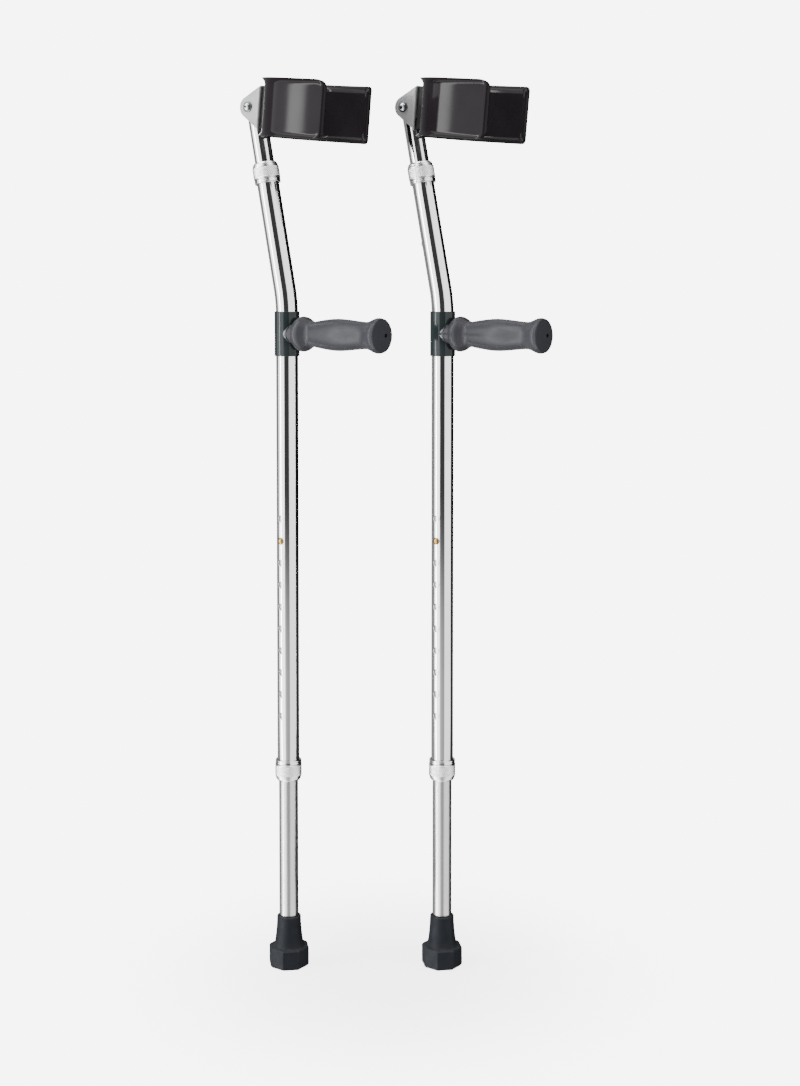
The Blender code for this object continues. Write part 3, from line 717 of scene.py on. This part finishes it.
# radius and distance in front of the outer tube's axis, from the far end back to the tube
gripOutline = [
    (0.0192, 0.1345), (0.01975, 0.1325), (0.0197, 0.1300), (0.0188, 0.1270), (0.0170, 0.1225),
    (0.0156, 0.1180), (0.0152, 0.1130), (0.0160, 0.1030), (0.0173, 0.0900), (0.0181, 0.0780),
    (0.0179, 0.0680), (0.0168, 0.0570), (0.0152, 0.0460), (0.0144, 0.0410), (0.0149, 0.0370),
    (0.0170, 0.0328), (0.0192, 0.0288), (0.0201, 0.0250), (0.0195, 0.0215), (0.0176, 0.0188),
    (0.0153, 0.0174), (0.0139, 0.0167), (0.0136, 0.0150), (0.0131, 0.0020),
]

gripSizes = {"end": 0.1358, "endRadius": 0.0192, "rim": 0.0011, "vent": 0.0023,
             "ventAcross": 0.0068, "ventDepth": 0.0060, "rodClearance": 0.0004, "rodRoom": 0.0010}


def makeSleeve(side):
    size, grip = sleeveSizes, places[side]["grip"]
    half, radius = size["half"], size["radius"]
    tube = turnedBm([(radius, half), (radius, -half), (size["bore"], -half), (size["bore"], half)])
    softenEdges(tube, size["rim"], 3, 60)
    chamfer, root = size["rodChamfer"], radius - size["rodRoot"]
    rod = turnedBm([
        (0.0, size["rodEnd"]), (size["rod"] - chamfer, size["rodEnd"]),
        (size["rod"], size["rodEnd"] - chamfer), (size["rod"], radius + size["rodFirstRing"]),
        (size["rod"], root), (0.0, root),
    ], 64)
    bm = combined(tube, [(rod, forward)], "UNION")
    piece = finishPiece(bm, side, "handgripSleeve", grip @ backward, "sleevePaint", "frame")
    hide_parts(side + "_handgrip_bracket")


def makeSaddleWasher(side):
    # a thin plate curved to the sleeve, its rim showing round the back of the grip
    size = saddleSizes
    bore = sleeveSizes["rod"] + gripSizes["rodClearance"]
    disc = turnedBm([(size["radius"], size["high"]), (size["radius"], size["low"]),
                     (bore, size["low"]), (bore, size["high"])])
    face = sleeveSizes["radius"] + gap
    inside = rodBm(face, -cutterHalf, cutterHalf, 96), backward
    outside = rodBm(face + size["thick"], -cutterHalf, cutterHalf, 96), backward
    plate = combined(combined(disc, [outside], "INTERSECT"), [inside])
    bm = softenEdges(plate, size["rim"], 2, 60)
    piece = finishPiece(bm, side, "gripWasher", places[side]["grip"], "washerSteel", "frame")
    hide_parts(side + "_grip_washer")


def makeHandgrip(side):
    size = gripSizes
    bore = sleeveSizes["rod"] + size["rodClearance"]
    boreEnd = sleeveSizes["rodEnd"] + size["rodRoom"]
    rim = size["rim"]
    rimCentre = size["endRadius"] - rim
    outline = [(0.0, size["end"]), (rimCentre, size["end"])]
    outline += arcPoints(rim, 75, 15, 3, (rimCentre, size["end"] - rim))
    outline += flowing(gripOutline, 5)
    outline += [(bore, gripOutline[-1][1]), (bore, boreEnd), (0.0, boreEnd)]
    bm = turnedBm(outline, 112)
    vent = rodBm(size["vent"], size["end"] - size["ventDepth"], size["end"] + 0.002, 40)
    saddleFace = sleeveSizes["radius"] + 2 * gap + saddleSizes["thick"]
    bm = combined(bm, [(vent, Matrix.Translation((size["ventAcross"], 0, 0))),
                       (rodBm(saddleFace, -cutterHalf, cutterHalf, 96), backward)])
    piece = finishPiece(bm, side, "handgrip", places[side]["grip"], "gripVinyl", "frame",
                        smoothUnder=50)
    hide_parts(side + "_handgrip")


for side in places:
    makeSleeve(side)
    makeSaddleWasher(side)
    makeHandgrip(side)
print("handgrips made")


tipSizes = {"top": 0.0590, "floor": 0.0240, "socket": 0.01145, "flats": 0.0445, "foot": 0.0235,
            "grooves": (0.0060, 0.0110, 0.0160), "grooveWidth": 0.0018, "grooveDepth": 0.0014,
            "grooveTaper": 0.6, "soleChamfer": 0.0022, "footChamfer": 0.0016, "rim": 0.0005, "sunk": 0.0030}


def makeTip(side):
    size = tipSizes
    top, foot = size["top"], size["foot"]
    neck = turnedBm([
        (0.0, top), (0.0128, top), (0.0134, top - 0.0003), (0.0138, top - 0.0009), (0.0139, 0.0560),
        (0.0141, 0.0500), (0.0146, 0.0430), (0.0153, 0.0360), (0.0161, 0.0300), (0.0169, 0.0262),
        (0.0178, 0.0240), (0.0188, 0.0231), (0.0188, foot - size["sunk"]), (0.0, foot - size["sunk"]),
    ])
    block = bmesh.new()
    corner = size["flats"] / 2 / math.cos(math.pi / 8)
    bmesh.ops.create_cone(
        block, cap_ends=True, segments=8, radius1=corner, radius2=corner, depth=foot,
        matrix=Matrix.Translation((0, 0, foot / 2)) @ Matrix.Rotation(math.radians(22.5), 4, "Z"),
    )
    for level, chamfer in ((0.0, size["soleChamfer"]), (foot, size["footChamfer"])):
        edges = [e for e in block.edges if all(abs(v.co.z - level) < 1e-6 for v in e.verts)]
        bmesh.ops.bevel(block, geom=edges, offset=chamfer, affect="EDGES", segments=1,
                        profile=0.5, material=-1)
    softenEdges(block, size["rim"], 3, 30)
    body = combined(block, [(neck, Matrix.Identity(4))], "UNION")
    cuts = [(rodBm(size["socket"], size["floor"], top + 0.002, 96), Matrix.Identity(4))]
    for middle in size["grooves"]:
        half, depth, taper = size["grooveWidth"] / 2, size["grooveDepth"], size["grooveTaper"]
        ring = turnedBm([(middle + half, -0.001), (middle + half * taper, depth),
                         (middle - half * taper, depth), (middle - half, -0.001)][::-1])
        cuts.append((ring, Matrix.Identity(4)))
    bm = combined(body, cuts)
    piece = finishPiece(bm, side, "tip", places[side]["upright"], "tipRubber", "leg", smoothUnder=35)
    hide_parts(side + "_tip")


for side in places:
    makeTip(side)
print("tips made")


# the cuff: a moulded C with flared lips and thick beads at the ends of its arms
cuffSizes = {
    "centre": 0.0734, "radius": 0.0463, "armEnd": 0.1300, "wall": 0.0026, "half": 0.0325,
    "lip": 0.0038, "lipBand": 0.0062, "bead": 0.0042, "corner": 0.0105, "rim": 0.0011,
    "bow": 2.0, "beadThins": 0.55, "beadTaper": 0.0090, "beadFade": 2.4,
    "backColumns": 72, "armColumns": 22, "beadColumns": 9, "rows": 20, "lipRows": 7,
}


def cuffPath(distance):
    # point and outward direction, as (ahead, across), at a distance from the back's middle
    size = cuffSizes
    quarter = size["radius"] * math.pi / 2
    hand = 1 if distance >= 0 else -1
    along = abs(distance)
    if along <= quarter:
        angle = along / size["radius"]
        normal = Vector((-math.cos(angle), hand * math.sin(angle)))
        return Vector((size["centre"], 0)) + size["radius"] * normal, normal
    run = along - quarter  # the arms draw in a little towards their ends
    turn = size["bow"] * run
    normal = Vector((math.sin(turn), hand * math.cos(turn)))
    across = size["radius"] - size["bow"] * run ** 2 / 2
    return Vector((size["centre"] + run, hand * across)), normal


def cuffColumns():
    # distances from the back's middle out to one end, close together round the bead
    size = cuffSizes
    quarter = size["radius"] * math.pi / 2
    end = quarter + size["armEnd"] - size["centre"] + size["bead"]
    beadStart = end - size["beadFade"] * size["bead"]
    columns = [quarter * k / (size["backColumns"] / 2) for k in range(size["backColumns"] // 2)]
    columns += [quarter + (beadStart - quarter) * k / size["armColumns"]
                for k in range(size["armColumns"])]
    taper = (size["beadFade"] - 2) * size["bead"]
    columns += [beadStart + taper * k / 3 for k in range(3)]
    for k in range(2 * size["beadColumns"]):
        angle = math.radians(180 - 172 * k / (2 * size["beadColumns"] - 1))
        columns.append(end - size["bead"] * (1 - math.cos(angle)))
    return columns, end


def cuffRows():
    size = cuffSizes
    flat = size["half"] - size["lipBand"]
    upper = [flat * k / (size["rows"] / 2) for k in range(size["rows"] // 2)]
    upper += [flat + size["lipBand"] * k / size["lipRows"] for k in range(size["lipRows"] + 1)]
    return [-z for z in reversed(upper[1:])] + upper


def cuffPoint(distance, height, end, outside):
    size = cuffSizes
    left = end - abs(distance)
    corner, half = size["corner"], size["half"]
    if left < corner:  # the ends' corners are rounded
        limit = half - corner + math.sqrt(max(corner ** 2 - (corner - left) ** 2, 0.0))
    else:
        limit = half
    height *= limit / half
    rise = max(0.0, 1 - (limit - abs(height)) / size["lipBand"])
    flare = size["lip"] * rise ** 1.7 * smoothStep(0.0, corner, left)
    wall, bead = size["wall"] / 2, size["bead"]
    middle = wall - bead
    reach = math.sqrt(max(bead ** 2 - (bead - min(left, 2 * bead)) ** 2, 0.0))
    swell = 1 - size["beadThins"] * smoothStep(limit - size["beadTaper"], limit, abs(height))
    if outside:
        offset = middle + reach if left < bead else wall
    elif left > bead:
        thick = middle - bead * swell
        fade = smoothStep(bead, size["beadFade"] * bead, left)
        offset = min(thick * (1 - fade) - wall * fade, -wall)
    else:
        offset = min(middle - reach * swell, -wall)
    point, normal = cuffPath(distance)
    point = point + normal * (offset + flare)
    return Vector((point.y, -point.x, height))


def makeCuff(side):
    size = cuffSizes
    columns, end = cuffColumns()
    distances = [-d for d in reversed(columns[1:])] + columns
    heights = cuffRows()
    bm = bmesh.new()
    for outside in (True, False):
        made = bmesh.ops.create_grid(
            bm, x_segments=len(distances) - 1, y_segments=len(heights) - 1, size=1.0
        )
        for vert in made["verts"]:
            column = round((vert.co.x + 1) / 2 * (len(distances) - 1))
            row = round((vert.co.y + 1) / 2 * (len(heights) - 1))
            vert.co = cuffPoint(distances[column], heights[row], end, outside)
        if not outside:
            faces = {face for vert in made["verts"] for face in vert.link_faces}
            bmesh.ops.reverse_faces(bm, faces=list(faces))
    rims = [edge for edge in bm.edges if edge.is_boundary]
    bridged = bmesh.ops.bridge_loops(bm, edges=rims)
    bmesh.ops.recalc_face_normals(bm, faces=bm.faces)
    joined = set(bridged["faces"])
    sharp = [e for e in bm.edges if len(joined.intersection(e.link_faces)) == 1]
    bmesh.ops.bevel(
        bm, geom=sharp, offset=size["rim"], offset_type="OFFSET", affect="EDGES", segments=3,
        profile=0.5, material=-1, clamp_overlap=True,
    )
    bm = combined(bm, rivetHoles())
    piece = finishPiece(bm, side, "cuff", places[side]["cuff"], "cuffVinyl", "cuff_assembly",
                        smoothUnder=60)
    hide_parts(side + "_cuff")


rivetHeights = {"Upper": 0.0190, "Lower": 0.0085}

rivetSizes = {"head": 0.0045, "headRise": 0.0018, "lift": 0.0010, "shank": 0.0024, "hole": 0.0028,
              "holeFrom": 0.0050, "holeTo": 0.0400}

bracketSizes = {
    "earInner": 0.0125, "earOuter": 0.0143, "front": 0.0170, "web": 0.0018, "half": 0.0250,
    "ear": 0.0120, "bend": 0.0026, "notch": -0.0100, "rows": 14, "rim": 0.00030,
}

spacerSizes = {"half": 0.0110, "halfHeight": 0.0235, "rim": 0.0006, "tubeClearance": 0.0005,
               "tubeReach": 0.0600}


def rivetHoles():
    size = rivetSizes
    return [(rodBm(size["hole"], size["holeFrom"], size["holeTo"], 40),
             Matrix.Translation((0, 0, height)) @ forward) for height in rivetHeights.values()]


def earHalfHeight(along):
    # half the ear's height at a distance in front of the pivot: straight flanks, then the round
    size = bracketSizes
    corner = Vector((size["front"], size["half"]))
    touch = math.atan2(corner.y, corner.x) + math.acos(size["ear"] / corner.length)
    contact = size["ear"] * Vector((math.cos(touch), math.sin(touch)))
    if along >= contact.x:
        share = (along - contact.x) / (corner.x - contact.x)
        return contact.y + (corner.y - contact.y) * share
    return math.sqrt(max(size["ear"] ** 2 - along ** 2, 0.0))


def bracketPath():
    # (across, ahead, outward normal) from the middle of the web round one bend and back
    size = bracketSizes
    radius = size["bend"]
    outerX, front = size["earOuter"], size["front"]
    stops = [Vector((0.0, front)), Vector((outerX - radius, front))]
    points = [(stop, Vector((0, 1))) for stop in (stops[0], stops[0].lerp(stops[1], 0.5), stops[1])]
    for k in range(1, 9):
        angle = math.radians(90 - 90 * k / 8)
        normal = Vector((math.cos(angle), math.sin(angle)))
        points.append((Vector((outerX - radius, front - radius)) + radius * normal, normal))
    for k in range(1, 13):
        ahead = (front - radius) * (1 - k / 12)
        points.append((Vector((outerX, ahead)), Vector((1, 0))))
    for k in range(1, 17):
        turn = math.radians(88 * k / 16)
        points.append((Vector((outerX, -size["ear"] * math.sin(turn))), Vector((1, 0))))
    return points


def makeBracket(side):
    size = bracketSizes
    half = bracketPath()
    path = [(Vector((-p.x, p.y)), Vector((-n.x, n.y))) for p, n in reversed(half[1:])] + half
    bm = bmesh.new()
    for inset in (0.0, size["web"]):
        made = bmesh.ops.create_grid(bm, x_segments=len(path) - 1, y_segments=size["rows"], size=1.0)
        for vert in made["verts"]:
            point, normal = path[round((vert.co.x + 1) / 2 * (len(path) - 1))]
            height = vert.co.y * earHalfHeight(point.y)
            spot = point - normal * inset
            vert.co = (spot.x, -spot.y, height)
    rims = [edge for edge in bm.edges if edge.is_boundary]
    bmesh.ops.bridge_loops(bm, edges=rims)
    bmesh.ops.recalc_face_normals(bm, faces=bm.faces)
    inner = size["earInner"]
    notch = boxBm((-inner, -cutterHalf, -0.040), (inner, 0.0, size["notch"]))
    cuts = [(notch, Matrix.Identity(4)), (rodBm(pivotHole, -cutterHalf, cutterHalf, 48), outward)]
    bm = softenEdges(combined(bm, cuts + rivetHoles()), size["rim"], 2, 50)
    piece = finishPiece(bm, side, "cuffBracket", places[side]["cuff"], "bracketSteel",
                        "cuff_assembly", smoothUnder=32)
    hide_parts(side + "_cuff_bracket")


def makeSpacer(side):
    size = spacerSizes
    cuffBack = cuffSizes["centre"] - cuffSizes["radius"] - cuffSizes["wall"] / 2
    block = boxBm((-size["half"], -(cuffBack - gap), -size["halfHeight"]),
                  (size["half"], -(bracketSizes["front"] + gap), size["halfHeight"]))
    softenEdges(block, size["rim"], 3)
    place = places[side]
    toCuff = place["cuff"].inverted() @ place["leaning"]
    clearance = rodBm(tubeSizes["innerRadius"] + size["tubeClearance"],
                      place["pivotAlong"] - size["tubeReach"], place["pivotAlong"], 96)
    bm = combined(block, [(clearance, toCuff)] + rivetHoles())
    piece = finishPiece(bm, side, "cuffSpacer", place["cuff"], "blackNylon", "cuff_assembly")
    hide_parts(side + "_cuff_spacer")


def makeRivet(side, where, height):
    size = rivetSizes
    inside = cuffSizes["centre"] - cuffSizes["radius"] + cuffSizes["wall"] / 2 + size["lift"]
    tail = bracketSizes["front"] - bracketSizes["web"] - gap
    dome = [(size["head"] * math.sin(a), inside + size["headRise"] * math.cos(a))
            for a in (math.radians(10 * k) for k in range(10))]
    dome[0] = (0.0, inside + size["headRise"])
    outline = dome + [
        (size["shank"], inside), (size["shank"], tail), (0.0036, tail), (0.0038, tail - 0.0003),
        (0.0035, tail - 0.0008), (0.0012, tail - 0.0008), (0.0008, tail - 0.0004), (0.0, tail - 0.0004),
    ]
    matrix = places[side]["cuff"] @ Matrix.Translation((0, 0, height)) @ forward
    piece = finishPiece(turnedBm(outline, 40), side, "cuffRivet" + where, matrix, "fastenerSteel",
                        "cuff_assembly")
    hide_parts(f"{side}_cuff_rivet_{where.lower()}")


pivotSizes = {
    "shank": 0.0030, "head": 0.0047, "headHeight": 0.0030, "headEdge": 0.0006, "socket": 0.0017,
    "socketDepth": 0.0018, "washer": 0.0060, "washerThick": 0.0010, "spacer": 0.0062,
    "nutCorner": 0.0058, "nutHeight": 0.0036, "shankPastWasher": 0.0062,
}
washerInner = bracketSizes["earOuter"] + gap
washerOuter = washerInner + pivotSizes["washerThick"]
pivotSeat = washerOuter + gap  # where the bolt's head and the nut bear


def makePivotWasher(side, which, turn):
    radius = pivotSizes["washer"]
    washer = turnedBm([(radius, washerOuter), (radius, washerInner), (pivotHole, washerInner),
                       (pivotHole, washerOuter)], 64)
    softenEdges(washer, 0.0002, 2, 60)
    piece = finishPiece(washer, side, "pivotWasher" + which, places[side]["cuff"] @ turn,
                        "washerSteel", "cuff_assembly")
    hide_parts(f"{side}_pivot_washer_{which.lower()}")


def makePivotSpacer(side, which, turn):
    radius = pivotSizes["spacer"]
    start, end = tubeSizes["innerRadius"] + gap, bracketSizes["earInner"] - gap
    ring = turnedBm([(radius, end), (radius, start), (pivotHole, start), (pivotHole, end)], 64)
    softenEdges(ring, 0.00012, 1, 60)
    place = places[side]
    seat = place["leaning"] @ Matrix.Translation((0, 0, place["pivotAlong"]))
    piece = finishPiece(ring, side, "pivotSpacer" + which, seat @ turn, "nylon", "forearm")
    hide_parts(f"{side}_pivot_spacer_{which.lower()}")


def makePivotBolt(side):
    size, head = pivotSizes, pivotSeat
    tail = -(washerOuter + size["shankPastWasher"])
    rise = size["headHeight"] - size["headEdge"]
    dome = [(size["head"] * math.sin(a), head + size["headEdge"] + rise * math.cos(a))
            for a in (math.radians(20 + 7 * k) for k in range(11))]
    outline = [(0.0, dome[0][1])] + dome + [
        (size["head"], head + 0.0002), (size["head"] - 0.0002, head), (size["shank"], head),
        (size["shank"], tail + 0.0004), (size["shank"] - 0.0004, tail), (0.0, tail),
    ]
    top = head + size["headHeight"]
    socket = rodBm(size["socket"], top - size["socketDepth"], top + 0.001, 6)
    bolt = combined(turnedBm(outline, 64), [(socket, Matrix.Identity(4))])
    piece = finishPiece(bolt, side, "pivotBolt", places[side]["cuff"] @ outward, "fastenerSteel",
                        "cuff_assembly")
    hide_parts(side + "_pivot_bolt")


def makePivotNut(side):
    # a hexagon with a round locking collar on its outer face
    low = pivotSeat
    nut = rodBm(pivotSizes["nutCorner"], low, low + pivotSizes["nutHeight"], 6)
    softenEdges(nut, 0.0003, 2, 25)
    collar = turnedBm([
        (0.0, low + 0.0030), (0.0047, low + 0.0030), (0.0047, low + 0.0044),
        (0.0044, low + 0.0049), (0.0038, low + 0.0050), (0.0, low + 0.0050),
    ], 64)
    nut = combined(nut, [(collar, Matrix.Identity(4))], "UNION")
    nut = combined(nut, [(rodBm(pivotHole, low - 0.002, low + 0.007, 48), Matrix.Identity(4))])
    piece = finishPiece(nut, side, "pivotNut", places[side]["cuff"] @ inward, "fastenerSteel",
                        "cuff_assembly", smoothUnder=30)
    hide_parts(side + "_pivot_nut")


for side in places:
    makeCuff(side)
    makeBracket(side)
    makeSpacer(side)
    for where, height in rivetHeights.items():
        makeRivet(side, where, height)
    for which, turn in (("Outer", outward), ("Inner", inward)):
        makePivotWasher(side, which, turn)
        makePivotSpacer(side, which, turn)
    makePivotBolt(side)
    makePivotNut(side)
print("cuffs made")


# pieces that stay as the frame has them, and their finish
keptFinishes = {
    "leg_spring": "springSteel", "forearm_spring": "springSteel",
    "upper_bushing": "blackNylon", "lower_bushing": "blackNylon", "tip_washer": "fastenerSteel",
}

for side in places:
    for name, finishName in keptFinishes.items():
        node = frame["nodes"][f"{side}_{name}"]
        node.data.materials.clear()
        node.data.materials.append(materials[finishName])


stageSizes = {"floor": 0.36, "fadeFrom": 0.05, "floorShare": 0.45,
              "floorColour": (0.90, 0.90, 0.90), "surround": 7.0}

cameraSizes = {
    "azimuth": -54.0, "distance": 2.000, "aim": (0.0236, 0.0066), "height": 0.800,
    "pitch": 3.0, "shift": -0.16, "sensor": 36.0, "lens": 57.9,
}

overheadSizes = {"aim": 0.55, "rise": 1.9, "size": (2.4, 2.4), "power": 30.0}

# the studio round the object: bearing from the camera's own, to its right, and brightness
studioBands = [
    (-180, 0.5), (-115, 0.26), (-100, 0.26), (-95, 4.0), (-73, 4.0), (-71.8, 26.0),
    (-67.8, 26.0), (-66.5, 4.0), (-33, 4.0), (-28, 0.05), (19, 0.05), (26, 2.4), (94, 2.4), (97, 0.01),
    (168, 0.01), (174, 0.5), (180, 0.5),
]
# and the same for what lies well below the horizon
lowBands = [
    (-180, 0.5), (-115, 0.30), (-100, 0.30), (-95, 4.0), (-73, 4.0), (-71.8, 26.0),
    (-67.8, 26.0), (-66.5, 4.0), (-33, 4.0), (-24, 0.95), (-8, 0.58), (19, 0.46), (26, 2.0),
    (94, 1.9), (97, 0.04), (168, 0.04), (174, 0.5), (180, 0.5),
]
studioPeak = 26.0
lowStudio = (-0.235, -0.120)  # where the lower bands take over, as the sine of the elevation


def makeFloor():
    bm = bmesh.new()
    bmesh.ops.create_circle(bm, cap_ends=True, segments=96, radius=stageSizes["floor"])
    mesh = bpy.data.meshes.new("floor")
    bm.to_mesh(mesh)
    bm.free()
    material, tree, shader, spot = newMaterial("floorPaint", Roughness=0.9)
    shader.inputs["Base Color"].default_value = (*stageSizes["floorColour"], 1.0)
    length = tree.nodes.new("ShaderNodeVectorMath")
    length.operation = "LENGTH"
    link(tree, spot, length.inputs[0])
    fade = tree.nodes.new("ShaderNodeMapRange")  # the floor runs out softly into the surround
    fade.interpolation_type = "SMOOTHSTEP"
    fade.inputs["From Min"].default_value = stageSizes["fadeFrom"]
    fade.inputs["From Max"].default_value = stageSizes["floor"]
    fade.inputs["To Min"].default_value, fade.inputs["To Max"].default_value = 1.0, 0.0
    link(tree, length.outputs["Value"], fade.inputs["Value"])
    seen = tree.nodes.new("ShaderNodeLightPath")
    share = mathNode(tree, "MULTIPLY", seen.outputs["Is Camera Ray"], stageSizes["floorShare"])
    link(tree, mathNode(tree, "MULTIPLY", share, fade.outputs["Result"]), shader.inputs["Alpha"])
    mesh.materials.append(material)
    floor = bpy.data.objects.new("floor", mesh)
    bpy.context.scene.collection.objects.link(floor)


def bandRamp(tree, share, bands):
    ramp = tree.nodes.new("ShaderNodeValToRGB")
    elements = ramp.color_ramp.elements
    for k, (angle, light) in enumerate(bands):
        position = (angle + 180) / 360
        if k < 2:
            elements[k].position = position
            element = elements[k]
        else:
            element = elements.new(position)
        element.color = (*[light / studioPeak] * 3, 1.0)
    link(tree, share, ramp.inputs["Fac"])
    return ramp.outputs["Color"]


def makeStudio(backBearing):
    world = bpy.data.worlds.new("studio")
    bpy.context.scene.world = world
    world.use_nodes = True
    tree = world.node_tree
    studio = tree.nodes["Background"]
    coordinates = tree.nodes.new("ShaderNodeTexCoord")
    split = tree.nodes.new("ShaderNodeSeparateXYZ")
    link(tree, coordinates.outputs["Generated"], split.inputs[0])
    bearing = mathNode(tree, "ARCTAN2", split.outputs["Y"], split.outputs["X"])
    turned = mathNode(tree, "SUBTRACT", bearing, backBearing - math.pi)
    share = mathNode(tree, "FRACT", mathNode(tree, "DIVIDE", turned, 2 * math.pi))
    byHeight = tree.nodes.new("ShaderNodeMapRange")
    byHeight.interpolation_type = "SMOOTHSTEP"
    byHeight.inputs["From Min"].default_value = lowStudio[0]
    byHeight.inputs["From Max"].default_value = lowStudio[1]
    link(tree, split.outputs["Z"], byHeight.inputs["Value"])
    blend = tree.nodes.new("ShaderNodeMix")
    blend.data_type = "RGBA"
    link(tree, byHeight.outputs["Result"], blend.inputs["Factor"])
    link(tree, bandRamp(tree, share, lowBands), blend.inputs["A"])
    link(tree, bandRamp(tree, share, studioBands), blend.inputs["B"])
    link(tree, blend.outputs["Result"], studio.inputs["Color"])
    studio.inputs["Strength"].default_value = studioPeak
    plain = tree.nodes.new("ShaderNodeBackground")
    plain.inputs["Color"].default_value = (1.0, 1.0, 1.0, 1.0)
    plain.inputs["Strength"].default_value = stageSizes["surround"]
    seen = tree.nodes.new("ShaderNodeLightPath")
    mix = tree.nodes.new("ShaderNodeMixShader")
    link(tree, seen.outputs["Is Camera Ray"], mix.inputs["Fac"])
    link(tree, studio.outputs[0], mix.inputs[1])
    link(tree, plain.outputs[0], mix.inputs[2])
    link(tree, mix.outputs[0], tree.nodes["World Output"].inputs["Surface"])


def addSoftLight(name, spot, towards, size, power):
    light = bpy.data.lights.new(name, "AREA")
    light.shape = "RECTANGLE"
    light.size, light.size_y = size
    light.energy = power
    obj = bpy.data.objects.new(name, light)
    obj.location = spot
    obj.rotation_euler = (Vector(towards) - Vector(spot)).to_track_quat("-Z", "Y").to_euler()
    bpy.context.scene.collection.objects.link(obj)
    return obj


def makeCamera():
    size = cameraSizes
    bearing = math.radians(size["azimuth"])
    back = Vector((math.sin(bearing), -math.cos(bearing), 0.0))
    camera = bpy.data.cameras.new("camera")
    camera.sensor_width = size["sensor"]
    camera.lens = size["lens"]
    camera.shift_y = size["shift"]
    obj = bpy.data.objects.new("camera", camera)
    obj.location = Vector((*size["aim"], size["height"])) + back * size["distance"]
    look = -back - Vector((0, 0, math.tan(math.radians(size["pitch"]))))
    obj.rotation_euler = look.to_track_quat("-Z", "Y").to_euler()
    bpy.context.scene.collection.objects.link(obj)
    bpy.context.scene.camera = obj
    return back


makeFloor()
back = makeCamera()
makeStudio(math.atan2(back.y, back.x))
middle = Vector((0, 0, overheadSizes["aim"]))
above = Vector((0, 0, overheadSizes["rise"]))
addSoftLight("overhead", middle + above, middle, overheadSizes["size"], overheadSizes["power"])
print("stage set")
